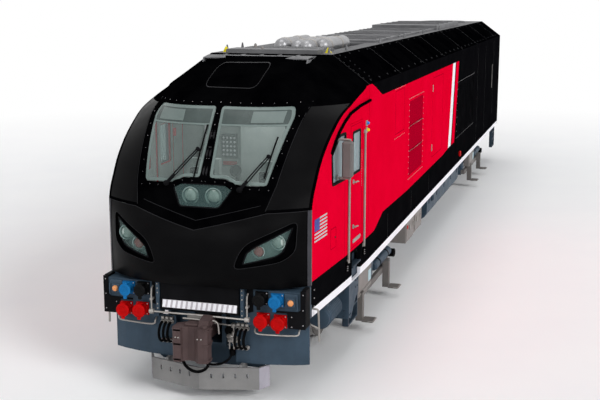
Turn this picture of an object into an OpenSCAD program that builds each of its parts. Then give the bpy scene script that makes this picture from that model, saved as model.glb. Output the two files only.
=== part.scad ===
// Four-axle passenger locomotive with one streamlined cab, on two swivelling trucks.
// X runs forward to the nose, Y to the left, Z up. The origin lies under the middle of the
// locomotive, at the bottom of the wheel flanges.

/* [Running gear] */
// Wheel diameter on the tread
wheel_d = 1118; // [900:2:1200]
// Depth of the wheel flange below the tread
flange_h = 28; // [22:1:34]
// Distance between the inner faces of the two wheels of an axle
back_to_back = 1360; // [1340:1:1380]
// Width of the wheel rim
rim_w = 140; // [125:1:150]
// Diameter of the axle between the wheels
axle_d = 190; // [160:2:220]
// Diameter of the axle journal in its box
journal_d = 150; // [120:2:160]
// Distance between the two axles of a truck
wheelbase = 2800; // [2600:10:3000]
// Distance between the two truck pivots
truck_spacing = 12960; // [12400:10:13400]
// Diameter of the truck pivot pin
pivot_d = 300; // [220:10:360]
// Running clearance around journals and pins
fit_gap = 0.5; // [0.3:0.1:1]

/* [Body] */
// Width over the side walls
body_w = 3050; // [2900:10:3200]
// Height of the lower edge of the side walls
sill_z = 1130; // [1100:5:1160]
// Height of the flat roof deck
deck_z = 4330; // [4250:5:4450]
// Height of the roof's slopes between the side walls and the deck
slope_h = 430; // [380:5:480]
// Width of the flat roof deck
deck_w = 1900; // [1600:10:2100]
// Thickness of walls and roof
wall_t = 60; // [40:5:80]
// Distance of the rear wall's outer face behind the middle
rear_reach = 10560; // [10300:10:10800]
// Distance of the seam between cab and body ahead of the middle
cab_seam = 7770; // [7600:10:7900]

/* [Cab] */
// Length of the cab from its seam to the tip of the nose
cab_l = 3230; // [3100:10:3300]
// Length of the cab's side panels
cab_side_l = 2790; // [2750:10:2830]
// Width over the cab's front corners
cab_front_w = 2920; // [2700:10:3000]
// Height of the nose's lower edge
nose_low_z = 1560; // [1500:5:1620]
// Roundness of the cab front in plan
plan_power = 3; // [2.4:0.1:4]
// Height of the cab floor
cab_floor_z = 1575; // [1500:5:1580]
// Width of the post between the windscreen panes
post_w = 120; // [80:2:180]
// Thickness of the windscreen
screen_t = 30; // [20:1:40]
// Length of the cab side doors
door_l = 660; // [600:10:680]
// Distance of the cab side doors' upper edge below the roof's slopes
door_head = 465; // [440:5:560]
// Distance of the door's hinge edge ahead of the cab seam
door_set = 390; // [380:5:410]
// Thickness of the doors
door_t = 50; // [40:1:55]
// Gap around the doors
door_gap = 8; // [6:1:12]

/* [Ends] */
// Height of the coupler's centre line
coupler_z = 880; // [850:5:920]
// Length of a coupler from its pivot to its face
coupler_l = 990; // [900:10:1100]
// Distance of a coupler's pivot behind the end of the frame
draft_set = 350; // [300:10:400]
// Height of the plow's lower edge
plow_z = 150; // [120:5:180]
// Width of the plow
plow_w = 1512; // [1400:10:1600]
// Height of the pilot's lower edge
pilot_z = 480; // [450:5:500]

/* [Underbody] */
// Length of the fuel tank
tank_l = 4500; // [4000:50:4600]
// Distance of the fuel tank's front end ahead of the middle
tank_front = 1810; // [1600:10:2000]
// Height of the fuel tank's lower face
tank_z = 600; // [500:10:700]
// Height of the steps' lowest tread
step_z = 460; // [420:5:520]

/* [Hidden] */
$fn = 48;

// Overrun of every cut past the face it opens
over = 20;
// Left and right
sides = [1, -1];
half_w = body_w / 2;
half_deck = deck_w / 2;
half_front = cab_front_w / 2;
axle_z = flange_h + wheel_d / 2;
truck_x = truck_spacing / 2;
cab_corner = cab_seam + cab_side_l;
door_hinge = cab_seam + door_set;
cantrail_z = deck_z - slope_h;
wall_h = cantrail_z - sill_z;

// Colours
RED = [0.86, 0.02, 0.16];
BLACK = [0.05, 0.05, 0.055];
SLATE = [0.23, 0.3, 0.37];
GREY = [0.5, 0.5, 0.5];
PALE = [0.66, 0.65, 0.63];
GLASS = [0.6, 0.68, 0.67, 0.5];

// Cab sections up to the cantrail: height as a share of the wall's, reach at the centre as a share of the
// cab's length, reach at the side panel's front edge as a share of the panel's length
WALL_SHARES = [
    [0, 0.957, 1],
    [0.155, 0.966, 1],
    [0.213, 0.989, 1],
    [0.289, 1, 1],
    [0.372, 0.995, 1],
    [0.444, 0.978, 1],
    [0.502, 0.944, 1],
    [0.56, 0.91, 0.946],
    [0.625, 0.873, 0.901],
    [0.69, 0.837, 0.851],
    [0.776, 0.789, 0.749],
    [0.848, 0.748, 0.624],
    [0.895, 0.72, 0.516],
    [0.946, 0.686, 0.301],
    [1, 0.619, 0.068]
];
// Cab sections above the cantrail, with heights as shares of the roof's rise
ROOF_SHARES = [
    [0.302, 0.536, 0.047],
    [0.605, 0.44, 0.032],
    [0.837, 0.344, 0.022],
    [1, 0.211, 0.011]
];

function wall_level(share) = sill_z + wall_h * share;
function cab_section(z, s) = [z, cab_seam + cab_l * s[1], cab_seam + cab_side_l * s[2]];

// Cab sections, upward: height, reach at the centre, reach at the side panel's front edge
SECTIONS = [
    for (s = WALL_SHARES) cab_section(wall_level(s[0]), s),
    for (s = ROOF_SHARES) cab_section(cantrail_z + slope_h * s[0], s)
];
// Points across the cab front
PLAN_STEPS = 28;

// Half width of the tapered cab at a distance ahead of the middle
function side_y(x) = half_w - (half_w - half_front) * (x - cab_seam) / (cab_corner - cab_seam);

// Half width of the body at a height, for a wall that reaches width w
function roof_y(z, w) =
    z <= cantrail_z ? w
    : w - (w - half_deck) * (z - cantrail_z) / slope_h;

// One level ring of the cab: back edge, front curve, back edge
function cab_ring(section, inset, back) =
    let (
        z = section[0],
        front = section[1],
        edge = section[2],
        w_edge = roof_y(z, side_y(edge - inset)) - inset,
        w_back = roof_y(z, side_y(back)) - inset,
        level = z - inset
    )
    concat(
        [[back, -w_back, level]],
        [for (i = [0 : PLAN_STEPS])
            let (share = 2 * i / PLAN_STEPS - 1)
            [edge + (front - edge) * (1 - pow(abs(share), plan_power)) - inset, share * w_edge, level]],
        [[back, w_back, level]]
    );

// Closed skin over a stack of rings with equal counts
module skin(rings) {
    count = len(rings[0]);
    top = len(rings) - 1;
    walls = [for (r = [0 : top - 1], i = [0 : count - 1])
        let (a = r * count + i, b = r * count + (i + 1) % count)
        each [[a, b + count, b], [a, a + count, b + count]]];
    floor_face = [[for (i = [0 : count - 1]) i]];
    roof_face = [[for (i = [0 : count - 1]) top * count + count - 1 - i]];
    polyhedron([for (ring = rings) each ring], concat(walls, floor_face, roof_face));
}

// Solid cab outline, shrunk by an inset and reaching back to a plane
module cab_solid(inset, back) {
    lowest = SECTIONS[0];
    below = [[lowest[0] - wall_t, lowest[1], lowest[2]]];
    skin([for (s = concat(inset > 0 ? below : [], SECTIONS)) cab_ring(s, inset, back)]);
}

// Hollow cab outline
module cab_shell(depth) {
    difference() {
        cab_solid(0, cab_seam);
        cab_solid(depth, cab_seam - depth - over);
    }
}

module box(x, y, z) {
    translate([x[0], y[0], z[0]]) cube([x[1] - x[0], y[1] - y[0], z[1] - z[0]]);
}

// Side outline (x, z) as a plate across y
module side_plate(points, y) {
    translate([0, y[1], 0]) rotate([90, 0, 0]) linear_extrude(y[1] - y[0]) polygon(points);
}

// Front outline (y, z) as a block along x
module front_plate(points, x) {
    translate([x[0], 0, 0]) rotate([90, 0, 90]) linear_extrude(x[1] - x[0]) polygon(points);
}

module left_and_right() {
    for (s = sides) scale_side(s) children();
}

module scale_side(s) {
    if (s > 0) children();
    else mirror([0, 1, 0]) children();
}

// Round bar between two points
module bar(a, b, d) {
    v = b - a;
    length = norm(v);
    translate(a) rotate([0, acos(v[2] / length), atan2(v[1], v[0])]) cylinder(d = d, h = length);
}

// Square bar between two points
module square_bar(a, b, w) {
    v = b - a;
    length = norm(v);
    translate(a) rotate([0, acos(v[2] / length), atan2(v[1], v[0])])
        linear_extrude(length) square(w, center = true);
}

// Cylinder along y
module across(x, y, z, d) {
    translate([x, y[1], z]) rotate([90, 0, 0]) cylinder(d = d, h = y[1] - y[0]);
}

// Cylinder along x
module along(x, y, z, d) {
    translate([x[0], y, z]) rotate([0, 90, 0]) cylinder(d = d, h = x[1] - x[0]);
}

// Levels and reaches shared by several pieces
floor_low = 1230;
floor_top = 1300;
deck_t = 70;
inner_w = half_w - wall_t;
rear_inner = rear_reach - wall_t;
front_end = cab_corner - wall_t;
sill_in = 1300;
end_beam = 200;
frame_gap = 5;

// Outline of the space between the side walls, in plan
FLOOR_PLAN = [
    [-rear_inner, inner_w],
    [cab_seam, inner_w],
    [front_end, side_y(front_end) - wall_t - fit_gap],
    [front_end, wall_t + fit_gap - side_y(front_end)],
    [cab_seam, -inner_w],
    [-rear_inner, -inner_w]
];

// Outline of the body's cross-section
BODY_SECTION = [
    [half_w, sill_z], [half_w, cantrail_z], [half_deck, deck_z],
    [-half_deck, deck_z], [-half_w, cantrail_z], [-half_w, sill_z]
];

// Outline of the space inside the body, above the floor
INNER_SECTION = [
    [inner_w, floor_top], [inner_w, cantrail_z], [half_deck, deck_z - deck_t],
    [-half_deck, deck_z - deck_t], [-inner_w, cantrail_z], [-inner_w, floor_top]
];

// Front edge of the cab's side panels, upward from the sill to the cantrail
SIDE_EDGE = [for (s = SECTIONS) if (s[0] <= cantrail_z) [s[2], s[0]]];
SIDE_PANEL = concat([[cab_seam, sill_z]], SIDE_EDGE, [[cab_seam, cantrail_z]]);

// Reach of the cab front at a place across and a height
function cab_reach(y, z) =
    let (
        front = lookup(z, [for (s = SECTIONS) [s[0], s[1]]]),
        edge = lookup(z, [for (s = SECTIONS) [s[0], s[2]]]),
        w = roof_y(z, side_y(edge))
    )
    edge + (front - edge) * (1 - pow(abs(y) / w, plan_power));

// Point on the cab front, lifted off it by a distance
function on_front(p, lift) = [cab_reach(p[0], p[1]) + lift, p[0], p[1]];

// Place on the cab front from shares of its half width and of the wall's height
function front_place(s) = [half_front * s[0], wall_level(s[1])];

// Place on the cab side from shares of the side panel's length and of the wall's height
function side_place(s) = [cab_seam + cab_side_l * s[0], wall_level(s[1])];

// Distance along the body from a share of its length, counted from the rear
body_l = cab_seam + rear_inner;
function body_x(share) = body_l * share - rear_inner;

function mirrored(points) = [for (i = [len(points) - 1 : -1 : 0]) [-points[i][0], points[i][1]]];

// Main frame

draft_l = 700;
draft_in = 190;
draft_out = 250;
draft_low = 650;
pin_d = 100;
pad_x = 4700;
pad_l = 300;
pad_low = 1080;
panel_in = 620;
panel_out = 1340;
panel_low = 1040;
panel_top = 1520;
panel_l = 200;
panel_front = front_end + panel_l;
end_top = 1550;

// Pocket of a coupler behind the end of the frame
module draft_pocket() {
    plate = 40;
    for (s = sides)
        scale_side(s) box([-draft_l, 0], [draft_in, draft_out], [draft_low, floor_low]);
    box([-draft_l, 0], [-draft_out, draft_out], [draft_low, draft_low + plate]);
    translate([-draft_set, 0, draft_low]) cylinder(d = pin_d, h = floor_low - draft_low);
}

module at_front_end() {
    translate([front_end, 0, 0]) children();
}

module at_rear_end() {
    translate([-rear_inner, 0, 0]) rotate([0, 0, 180]) children();
}

module underframe() {
    pivot_low = 700;
    color(SLATE) {
        translate([0, 0, floor_low]) linear_extrude(floor_top - floor_low) polygon(FLOOR_PLAN);
        difference() {
            translate([0, 0, sill_z]) linear_extrude(floor_low - sill_z) polygon(FLOOR_PLAN);
            box([end_beam - rear_inner, front_end - end_beam], [-sill_in, sill_in],
                [sill_z - over, floor_low]);
        }
        for (s = sides) {
            translate([s * truck_x, 0, pivot_low]) cylinder(d = pivot_d, h = floor_low - pivot_low);
            for (t = sides)
                translate([s * pad_x - pad_l / 2, 0, 0])
                    scale_side(t) box([0, pad_l], [sill_in, inner_w], [pad_low, sill_z]);
        }
        at_front_end() draft_pocket();
        at_rear_end() draft_pocket();
        box([front_end - end_beam / 2, front_end], [wall_t - half_front, half_front - wall_t],
            [floor_top, end_top]);
        left_and_right() box([front_end, panel_front], [panel_in, panel_out], [panel_low, panel_top]);
    }
}

// Pilot and plow

gusset_in = 500;
gusset_w = 40;
pilot_l = 100;
pilot_front = front_end + pilot_l;
pilot_in = 420;
pilot_half = 1370;
pilot_sweep = 170;
plow_top = 448;

// Where the pilot starts to bend back: share of its sweep, share of its half width
PILOT_SHARES = [[0.12, 0.6], [0.32, 0.73], [0.62, 0.88]];

// Pilot line in plan, outward: distance ahead, distance from the middle
PILOT_LINE = concat(
    [[pilot_front, pilot_in], [pilot_front, panel_in]],
    [for (s = PILOT_SHARES) [pilot_front - pilot_sweep * s[0], pilot_half * s[1]]],
    [[pilot_front - pilot_sweep, pilot_half]]
);

module pilot() {
    plate = 30;
    line = concat(PILOT_LINE, [for (i = [len(PILOT_LINE) - 1 : -1 : 0]) PILOT_LINE[i] - [plate, 0]]);
    color(SLATE) left_and_right() {
        translate([0, 0, pilot_z]) linear_extrude(panel_low - pilot_z) polygon(line);
        box([front_end - end_beam, pilot_front - plate], [gusset_in, gusset_in + gusset_w],
            [pilot_z, sill_z]);
    }
}

// Bolt slots of the plow: distances from the middle as shares of its half width
SLOT_SHARES = [-0.8, -0.6, -0.4, -0.2, 0.2, 0.4, 0.6, 0.8];

module plow() {
    plate = 25;
    reach = 360;
    sweep = 206;
    flap_l = 174;
    flap_out = 84;
    tip = front_end + reach;
    end = tip - sweep;
    half = plow_w / 2;
    flap = [end - flap_l, half + flap_out];
    bracket_low = 320;
    bracket_l = 200;
    slot = [26, 60];
    slot_drop = 110;
    color(GREY) {
        difference() {
            translate([0, 0, plow_z]) linear_extrude(plow_top - plow_z)
                polygon([[tip, 0], [end, half], flap, [flap[0], flap[1] - plate],
                    [end - plate, half - plate], [tip - plate, 0], [end - plate, plate - half],
                    [flap[0], plate - flap[1]], [flap[0], -flap[1]], [end, -half]]);
            for (share = SLOT_SHARES)
                translate([end - plate - over, half * share - slot[0] / 2, plow_top - slot_drop - slot[1] / 2])
                    cube([tip - end + plate + over, slot[0], slot[1]]);
        }
        left_and_right()
            box([front_end, front_end + bracket_l], [gusset_in, gusset_in + gusset_w], [bracket_low, pilot_z]);
    }
}

// Cab shell

// Crease over the nose: height at the middle, at its bend and at the corner as shares of the wall's
CREASE_SHARES = [0.425, 0.504, 0.511];
bend_y = 900;
v_mid = wall_level(CREASE_SHARES[0]);
v_bend = [bend_y, wall_level(CREASE_SHARES[1])];
v_side = wall_level(CREASE_SHARES[2]);
// Planes ahead of the nose and behind the cab front, for cuts through it
cab_far = cab_seam + cab_l + wall_t;
cut_x = [door_hinge + door_l, cab_far];

// Upright layer of the tapered cab side: from its outer face to a depth, between two distances ahead
module side_layer(x, z, depth) {
    translate([0, 0, z[0]]) linear_extrude(z[1] - z[0])
        polygon([[x[0], side_y(x[0])], [x[1], side_y(x[1])],
            [x[1], side_y(x[1]) - depth], [x[0], side_y(x[0]) - depth]]);
}

// Part of the left cab side's layer within a side outline
module side_pane(points, depth) {
    intersection() {
        side_layer([cab_seam, cab_corner], [sill_z, cantrail_z], depth);
        side_plate(points, side_depth);
    }
}

module side_region() {
    left_and_right() side_pane(SIDE_PANEL, wall_t + over);
}

// Front region of the nose, below the V-shaped crease
module nose_region() {
    wide = half_w + over;
    front_plate([[-wide, nose_low_z], [wide, nose_low_z], [wide, v_side], v_bend, [0, v_mid],
            [-v_bend[0], v_bend[1]], [-wide, v_side]],
        [front_end - wall_t, cab_far]);
}

// Left windscreen pane, from its lower edge outward and up
SCREEN_SHARES = [[0.205, 0.639], [0.274, 0.616], [0.575, 0.612], [0.644, 0.906], [0.616, 0.951]];
// Lower and upper end of the post between the panes
POST_SHARES = [0.639, 0.955];
SCREEN = concat(
    [[post_w / 2, wall_level(POST_SHARES[0])]],
    [for (s = SCREEN_SHARES) front_place(s)],
    [[post_w / 2, wall_level(POST_SHARES[1])]]
);
// Left half of the centre lamp's cover, and the left corner lamp's cover
CENTRE_SHARES = [[0.185, 0.514], [0.257, 0.599], [0.24, 0.616]];
CORNER_SHARES = [[0.433, 0.274], [0.467, 0.33], [0.538, 0.359], [0.832, 0.44], [0.762, 0.328], [0.708, 0.308]];
HALF_CENTRE = [for (s = CENTRE_SHARES) front_place(s)];
CENTRE_LAMP = concat(HALF_CENTRE, mirrored(HALF_CENTRE));
CORNER_LAMP = [for (s = CORNER_SHARES) front_place(s)];
// Lamps on the left and their diameters: centre, red corner lamp, white corner lamp
LAMP_SHARES = [[0.106, 0.561], [0.561, 0.334], [0.717, 0.374]];
LAMP_D = [190, 140, 150];

module screens(x) {
    left_and_right() front_plate(SCREEN, x);
}

module lamp_openings(x) {
    front_plate(CENTRE_LAMP, x);
    left_and_right() front_plate(CORNER_LAMP, x);
}

module nose() {
    color(BLACK) difference() {
        intersection() {
            cab_shell(wall_t);
            nose_region();
        }
        side_region();
        lamp_openings(cut_x);
    }
}

module cab_front() {
    color(BLACK) difference() {
        cab_shell(wall_t);
        nose_region();
        side_region();
        box([cab_seam - over, cab_far], [-half_w - over, half_w + over], [0, nose_low_z]);
        screens(cut_x);
        lamp_openings(cut_x);
    }
}

// Cab sides and doors

door_low = 1590;
door_h = cantrail_z - door_head - door_low;
door_front = door_hinge + door_l;
window_set = 130;
window_top = door_low + door_h - window_set;
window_h = 590;
CAB_WINDOW_SHARES = [[0.462, 0.572], [0.663, 0.572], [0.674, 0.718], [0.552, 0.8], [0.462, 0.8]];
CAB_WINDOW = [for (s = CAB_WINDOW_SHARES) side_place(s)];

function rectangle(x, z) = [[x[0], z[0]], [x[1], z[0]], [x[1], z[1]], [x[0], z[1]]];

DOOR = rectangle([door_hinge, door_front], [door_low, door_low + door_h]);
DOOR_WINDOW = rectangle([door_hinge + window_set, door_front - window_set],
    [window_top - window_h, window_top]);
// Step well in the wall below the door
well_behind = 40;
well_ahead = 130;
well_strip = 30;
STEP_WELL = rectangle([door_hinge + well_behind, door_front - well_ahead],
    [sill_z - over, door_low - well_strip]);
DOORWAY = rectangle([door_hinge - door_gap, door_front + door_gap],
    [door_low - door_gap, door_low + door_h + door_gap]);
side_depth = [half_front - wall_t - over, half_w + over];

// Hinges of a door: heights of their middles above the door's lower edge, as shares of a cab door's height
HINGE_SHARES = [0.163, 0.84];
HINGES = [for (share = HINGE_SHARES) door_h * share];
barrel_d = 44;
barrel_h = 120;
hinge_pin_d = 22;
strap = 16;
// Depth to which hinge leaves sink into their wall
hinge_bite = 4;

// Axis of the left cab door's hinges
hinge_x = door_hinge - door_gap / 2;
hinge_y = side_y(door_hinge) - wall_t - barrel_d / 2;

// Pins on the frame, about the hinge axis: the frame lies in -x, its face at a distance in +y
module hinge_pins(low, face) {
    for (z = HINGES) translate([0, 0, low + z]) {
        cylinder(d = hinge_pin_d, h = barrel_h + 2 * strap, center = true);
        for (s = sides) translate([0, 0, s * (barrel_h / 2 + strap) - strap / 2]) {
            cylinder(d = barrel_d, h = strap);
            translate([-barrel_d, 0, 0]) cube([barrel_d, face, strap]);
        }
    }
}

// Barrels on the door, about the hinge axis: the door lies in +x, its face at a distance in +y
module hinge_barrels(low, face) {
    for (z = HINGES) translate([0, 0, low + z]) difference() {
        union() {
            cylinder(d = barrel_d, h = barrel_h, center = true);
            translate([0, 0, -barrel_h / 2]) cube([barrel_d, face, barrel_h]);
        }
        cylinder(d = hinge_pin_d + 2 * fit_gap, h = barrel_h + over, center = true);
    }
}

module cab_side_left() {
    color(RED) {
        cab_side_wall();
        translate([hinge_x, hinge_y, 0]) hinge_pins(door_low, barrel_d / 2 + hinge_bite);
    }
}

module cab_side_wall() {
    difference() {
        side_pane(SIDE_PANEL, wall_t);
        side_plate(DOORWAY, side_depth);
        side_plate(STEP_WELL, side_depth);
        side_plate(CAB_WINDOW, side_depth);
        for (r = RAILS)
            box([r[0] - recess_half, r[0] + recess_half], [side_y(r[0]) - recess_depth, half_w + over],
                [r[1] - recess_end, r[2] + recess_end]);
    }
}

module cab_side_right() {
    mirror([0, 1, 0]) cab_side_left();
}

module cab_glass() {
    color(GLASS) {
        intersection() {
            cab_shell(screen_t);
            screens(cut_x);
        }
        left_and_right() side_pane(CAB_WINDOW, screen_t);
    }
}

module cab_door_left() {
    color(RED) {
        difference() {
            side_pane(DOOR, door_t);
            side_plate(DOOR_WINDOW, side_depth);
        }
        translate([hinge_x, hinge_y, 0]) hinge_barrels(door_low, barrel_d / 2 + wall_t - door_t + hinge_bite);
    }
}

module cab_door_right() {
    mirror([0, 1, 0]) cab_door_left();
}

module door_glass_left() {
    color(GLASS) side_pane(DOOR_WINDOW, screen_t);
}

module door_glass_right() {
    mirror([0, 1, 0]) door_glass_left();
}

// Cab inside

module cab_floor() {
    plate = 60;
    edge = 4;
    bearer_w = 60;
    bearer_pitch = 700;
    bearers = 4;
    front = front_end - end_beam;
    color(GREY) {
        translate([0, 0, cab_floor_z - plate]) linear_extrude(plate)
            polygon([[cab_seam, inner_w - edge], [front, side_y(front) - wall_t - edge],
                [front, wall_t + edge - side_y(front)], [cab_seam, edge - inner_w]]);
        for (i = [0 : bearers - 1])
            translate([0, (i - (bearers - 1) / 2) * bearer_pitch - bearer_w / 2, 0])
                box([cab_seam, front], [0, bearer_w], [floor_top, cab_floor_z - plate]);
    }
}

module cab_bulkhead() {
    color(PALE) front_plate(INNER_SECTION, [cab_seam - wall_t, cab_seam]);
}

// Seats: distance ahead of the cab seam, distance from the middle
seat_set = 1580;
seat_y = 560;

module seat() {
    post_d = 140;
    cushion = [480, 500, 120];
    cushion_z = 480;
    back_t = 110;
    back_h = 750;
    translate([0, 0, cab_floor_z]) {
        cylinder(d = post_d, h = cushion_z);
        translate([-cushion[0] / 2, -cushion[1] / 2, cushion_z]) cube(cushion);
        translate([-cushion[0] / 2, -cushion[1] / 2, cushion_z + cushion[2]])
            cube([back_t, cushion[1], back_h]);
    }
}

module cab_interior() {
    desk_half = 1120;
    // Foot of the desk, and its top from the front edge back
    foot_shares = [0.684, 0.777];
    top_shares = [[0.839, 0.473], [0.814, 0.516], [0.647, 0.487], [0.647, 0.466]];
    desk = concat(
        [for (share = foot_shares) [cab_seam + cab_l * share, cab_floor_z]],
        [for (s = top_shares) [cab_seam + cab_l * s[0], wall_level(s[1])]]
    );
    cabinet = [420, 700, 1900];
    color(PALE) {
        side_plate(desk, [-desk_half, desk_half]);
        for (s = sides) translate([cab_seam + seat_set, s * seat_y, 0]) seat();
        translate([cab_seam, -cabinet[1] / 2, cab_floor_z]) cube(cabinet);
    }
}

// Body walls

// Grille openings in a body side: rear end and front end as shares of the body's length, lower edge and
// upper edge as shares of the wall's height
GRILLE_SHARES = [[0.748, 0.822, 0.307, 0.794], [0.334, 0.493, 0.289, 0.722]];
GRILLES = [for (s = GRILLE_SHARES) [body_x(s[0]), body_x(s[1]), wall_level(s[2]), wall_level(s[3])]];

module body_side_left() {
    color(RED) difference() {
        box([-rear_inner, cab_seam], [inner_w, half_w], [sill_z, cantrail_z]);
        for (g = GRILLES)
            box([g[0], g[1]], [inner_w - over, half_w + over], [g[2], g[3]]);
    }
}

module body_side_right() {
    mirror([0, 1, 0]) body_side_left();
}

module side_grilles() {
    frame_w = 45;
    slat_pitch = 54;
    slat_t = 14;
    recess = 12;
    slat_y = [inner_w, half_w - recess];
    color([0.5, 0.03, 0.12]) left_and_right() for (g = GRILLES) {
        difference() {
            box([g[0], g[1]], slat_y, [g[2], g[3]]);
            box([g[0] + frame_w, g[1] - frame_w], [inner_w - over, half_w],
                [g[2] + frame_w, g[3] - frame_w]);
        }
        for (z = [g[2] + slat_pitch : slat_pitch : g[3] - slat_pitch])
            box([g[0] + frame_w, g[1] - frame_w], slat_y, [z, z + slat_t]);
    }
}

module roof_slopes() {
    color(BLACK) left_and_right()
        front_plate([[half_w, cantrail_z], [half_deck, deck_z], [half_deck, deck_z - deck_t],
            [inner_w, cantrail_z]], [-rear_inner, cab_seam]);
}

// Roof fans, as shares of the body's length
FAN_SHARES = [0.164, 0.088];
FANS = [for (share = FAN_SHARES) body_x(share)];
fan_d = 1150;
fan_gap = 25;
fan_pin_d = 60;
fan_drop = 190;
fan_depth = 130;
well_l = 2200;
well_share = 0.93;
well_front = body_x(well_share);
well = [well_front - well_l, well_front];
well_half = 640;
well_depth = 300;
well_floor = deck_z - well_depth;

module roof_deck() {
    color(GREY) {
        difference() {
            box([-rear_inner, cab_seam], [-half_deck, half_deck], [deck_z - deck_t, deck_z]);
            for (x = FANS) translate([x, 0, deck_z - deck_t - over]) cylinder(d = fan_d, h = deck_t + 2 * over);
            box(well, [-well_half, well_half], [deck_z - deck_t - over, deck_z + over]);
        }
        difference() {
            box([well[0] - deck_t, well[1] + deck_t], [-well_half - deck_t, well_half + deck_t],
                [well_floor - deck_t, deck_z - deck_t]);
            box(well, [-well_half, well_half], [well_floor, deck_z]);
        }
    }
}

// Roof hatches: rear end and front end as shares of the body's length, half width as a share of the deck's
HATCH_SHARES = [[0.941, 0.97, 0.737], [0.679, 0.794, 0.8], [0.558, 0.668, 0.8], [0.436, 0.547, 0.8]];
// Raised cooling box behind the hatches, in the same shares
COOLER_SHARES = [0.226, 0.428, 0.842];
hatch_h = 40;
hatch_rib_w = 60;
hatch_rib_h = 18;
hatch_ribs = 4;
cooler_h = 110;

module fan_guard(x) {
    ring_w = 60;
    ring_h = 45;
    spoke_w = 40;
    spokes = 4;
    hub_d = 170;
    translate([x, 0, deck_z]) {
        linear_extrude(ring_h) {
            difference() {
                circle(d = fan_d + 2 * ring_w);
                circle(d = fan_d);
            }
            for (i = [0 : spokes - 1])
                rotate(i * 180 / spokes) square([fan_d + ring_w, spoke_w], center = true);
            circle(d = hub_d);
        }
        translate([0, 0, -fan_drop]) cylinder(d = fan_pin_d, h = fan_drop);
    }
}

module hatch(s, height) {
    x = [body_x(s[0]), body_x(s[1])];
    half = half_deck * s[2];
    box(x, [-half, half], [deck_z, deck_z + height]);
    for (i = [1 : hatch_ribs])
        translate([x[0] + (x[1] - x[0]) * i / (hatch_ribs + 1) - hatch_rib_w / 2, 0, deck_z + height])
            box([0, hatch_rib_w], [hatch_rib_w - half, half - hatch_rib_w], [0, hatch_rib_h]);
}

module roof_hatches() {
    color(PALE) {
        for (s = HATCH_SHARES) hatch(s, hatch_h);
        hatch(COOLER_SHARES, cooler_h);
        for (x = FANS) fan_guard(x);
    }
}

module fan(x) {
    hub_d = 240;
    blades = 9;
    blade_t = 14;
    pitch_deg = 35;
    tip_d = fan_d - 2 * fan_gap;
    translate([x, 0, deck_z - fan_drop]) difference() {
        union() {
            cylinder(d = hub_d, h = fan_depth);
            intersection() {
                cylinder(d = tip_d, h = fan_depth);
                for (i = [0 : blades - 1])
                    rotate([0, 0, i * 360 / blades]) translate([0, 0, fan_depth / 2]) rotate([pitch_deg, 0, 0])
                        translate([0, -fan_depth, -blade_t / 2]) cube([tip_d, fan_depth * 2, blade_t]);
            }
        }
        translate([0, 0, -over]) cylinder(d = fan_pin_d + 2 * fit_gap, h = fan_depth + 2 * over);
    }
}

module fan_1() {
    color(GREY) fan(FANS[0]);
}

module fan_2() {
    color(GREY) fan(FANS[1]);
}

// Silencers across the well, as shares of its length
SILENCER_SHARES = [0.33, 0.62, 0.88];

module silencers() {
    length = 900;
    d = 420;
    color([0.75, 0.75, 0.76]) for (share = SILENCER_SHARES)
        translate([well[0] + well_l * share, 0, well_floor + d / 2]) rotate([90, 0, 0])
            cylinder(d = d, h = length, center = true);
}

// Roof stubs: share of the body's length, share of the deck's half width
STUB_SHARES = [[0.975, -0.92], [0.99, 0.9], [0.936, 0.92], [0.936, -0.92], [0.8, 0.92], [0.673, 0.92],
    [0.553, 0.92], [0.43, 0.92]];

module roof_fittings() {
    stub_d = [56, 20];
    stub_h = 100;
    visor_l = 480;
    visor_half = 720;
    visor_h = 60;
    color(PALE) {
        for (s = STUB_SHARES)
            translate([body_x(s[0]), half_deck * s[1], deck_z])
                cylinder(d1 = stub_d[0], d2 = stub_d[1], h = stub_h);
        box([cab_seam - visor_l, cab_seam], [-visor_half, visor_half], [deck_z, deck_z + visor_h]);
    }
}

rear_door_w = 760;
rear_door_low = 1320;
rear_head = 600;
rear_door_h = cantrail_z - rear_head - rear_door_low;

// Places children about the rear door's hinge axis, with the door in +x and the outside in +y
module at_rear_hinge() {
    translate([barrel_d / 2 - rear_inner, -(rear_door_w + door_gap) / 2, 0]) rotate([0, 0, 90]) children();
}

module rear_wall() {
    half = rear_door_w / 2 + door_gap;
    color(BLACK) {
        difference() {
            front_plate(BODY_SECTION, [-rear_reach, -rear_inner]);
            box([-rear_reach - over, over - rear_inner], [-half, half],
                [rear_door_low - door_gap, rear_door_low + rear_door_h + door_gap]);
        }
        at_rear_hinge() hinge_pins(rear_door_low, barrel_d / 2 + hinge_bite);
    }
}

module rear_door() {
    color(BLACK) {
        box([-rear_reach, door_t - rear_reach], [-rear_door_w / 2, rear_door_w / 2],
            [rear_door_low, rear_door_low + rear_door_h]);
        at_rear_hinge() hinge_barrels(rear_door_low, barrel_d / 2 + wall_t - door_t + hinge_bite);
    }
}

module engine_block() {
    length = 6000;
    front = 2500;
    half = 700;
    head_room = 700;
    color(GREY) box([front - length, front], [-half, half], [floor_top, cantrail_z - head_room]);
}

// Front fittings

cover_t = 15;
lamp_depth = 120;
lens_gap = 30;

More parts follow.
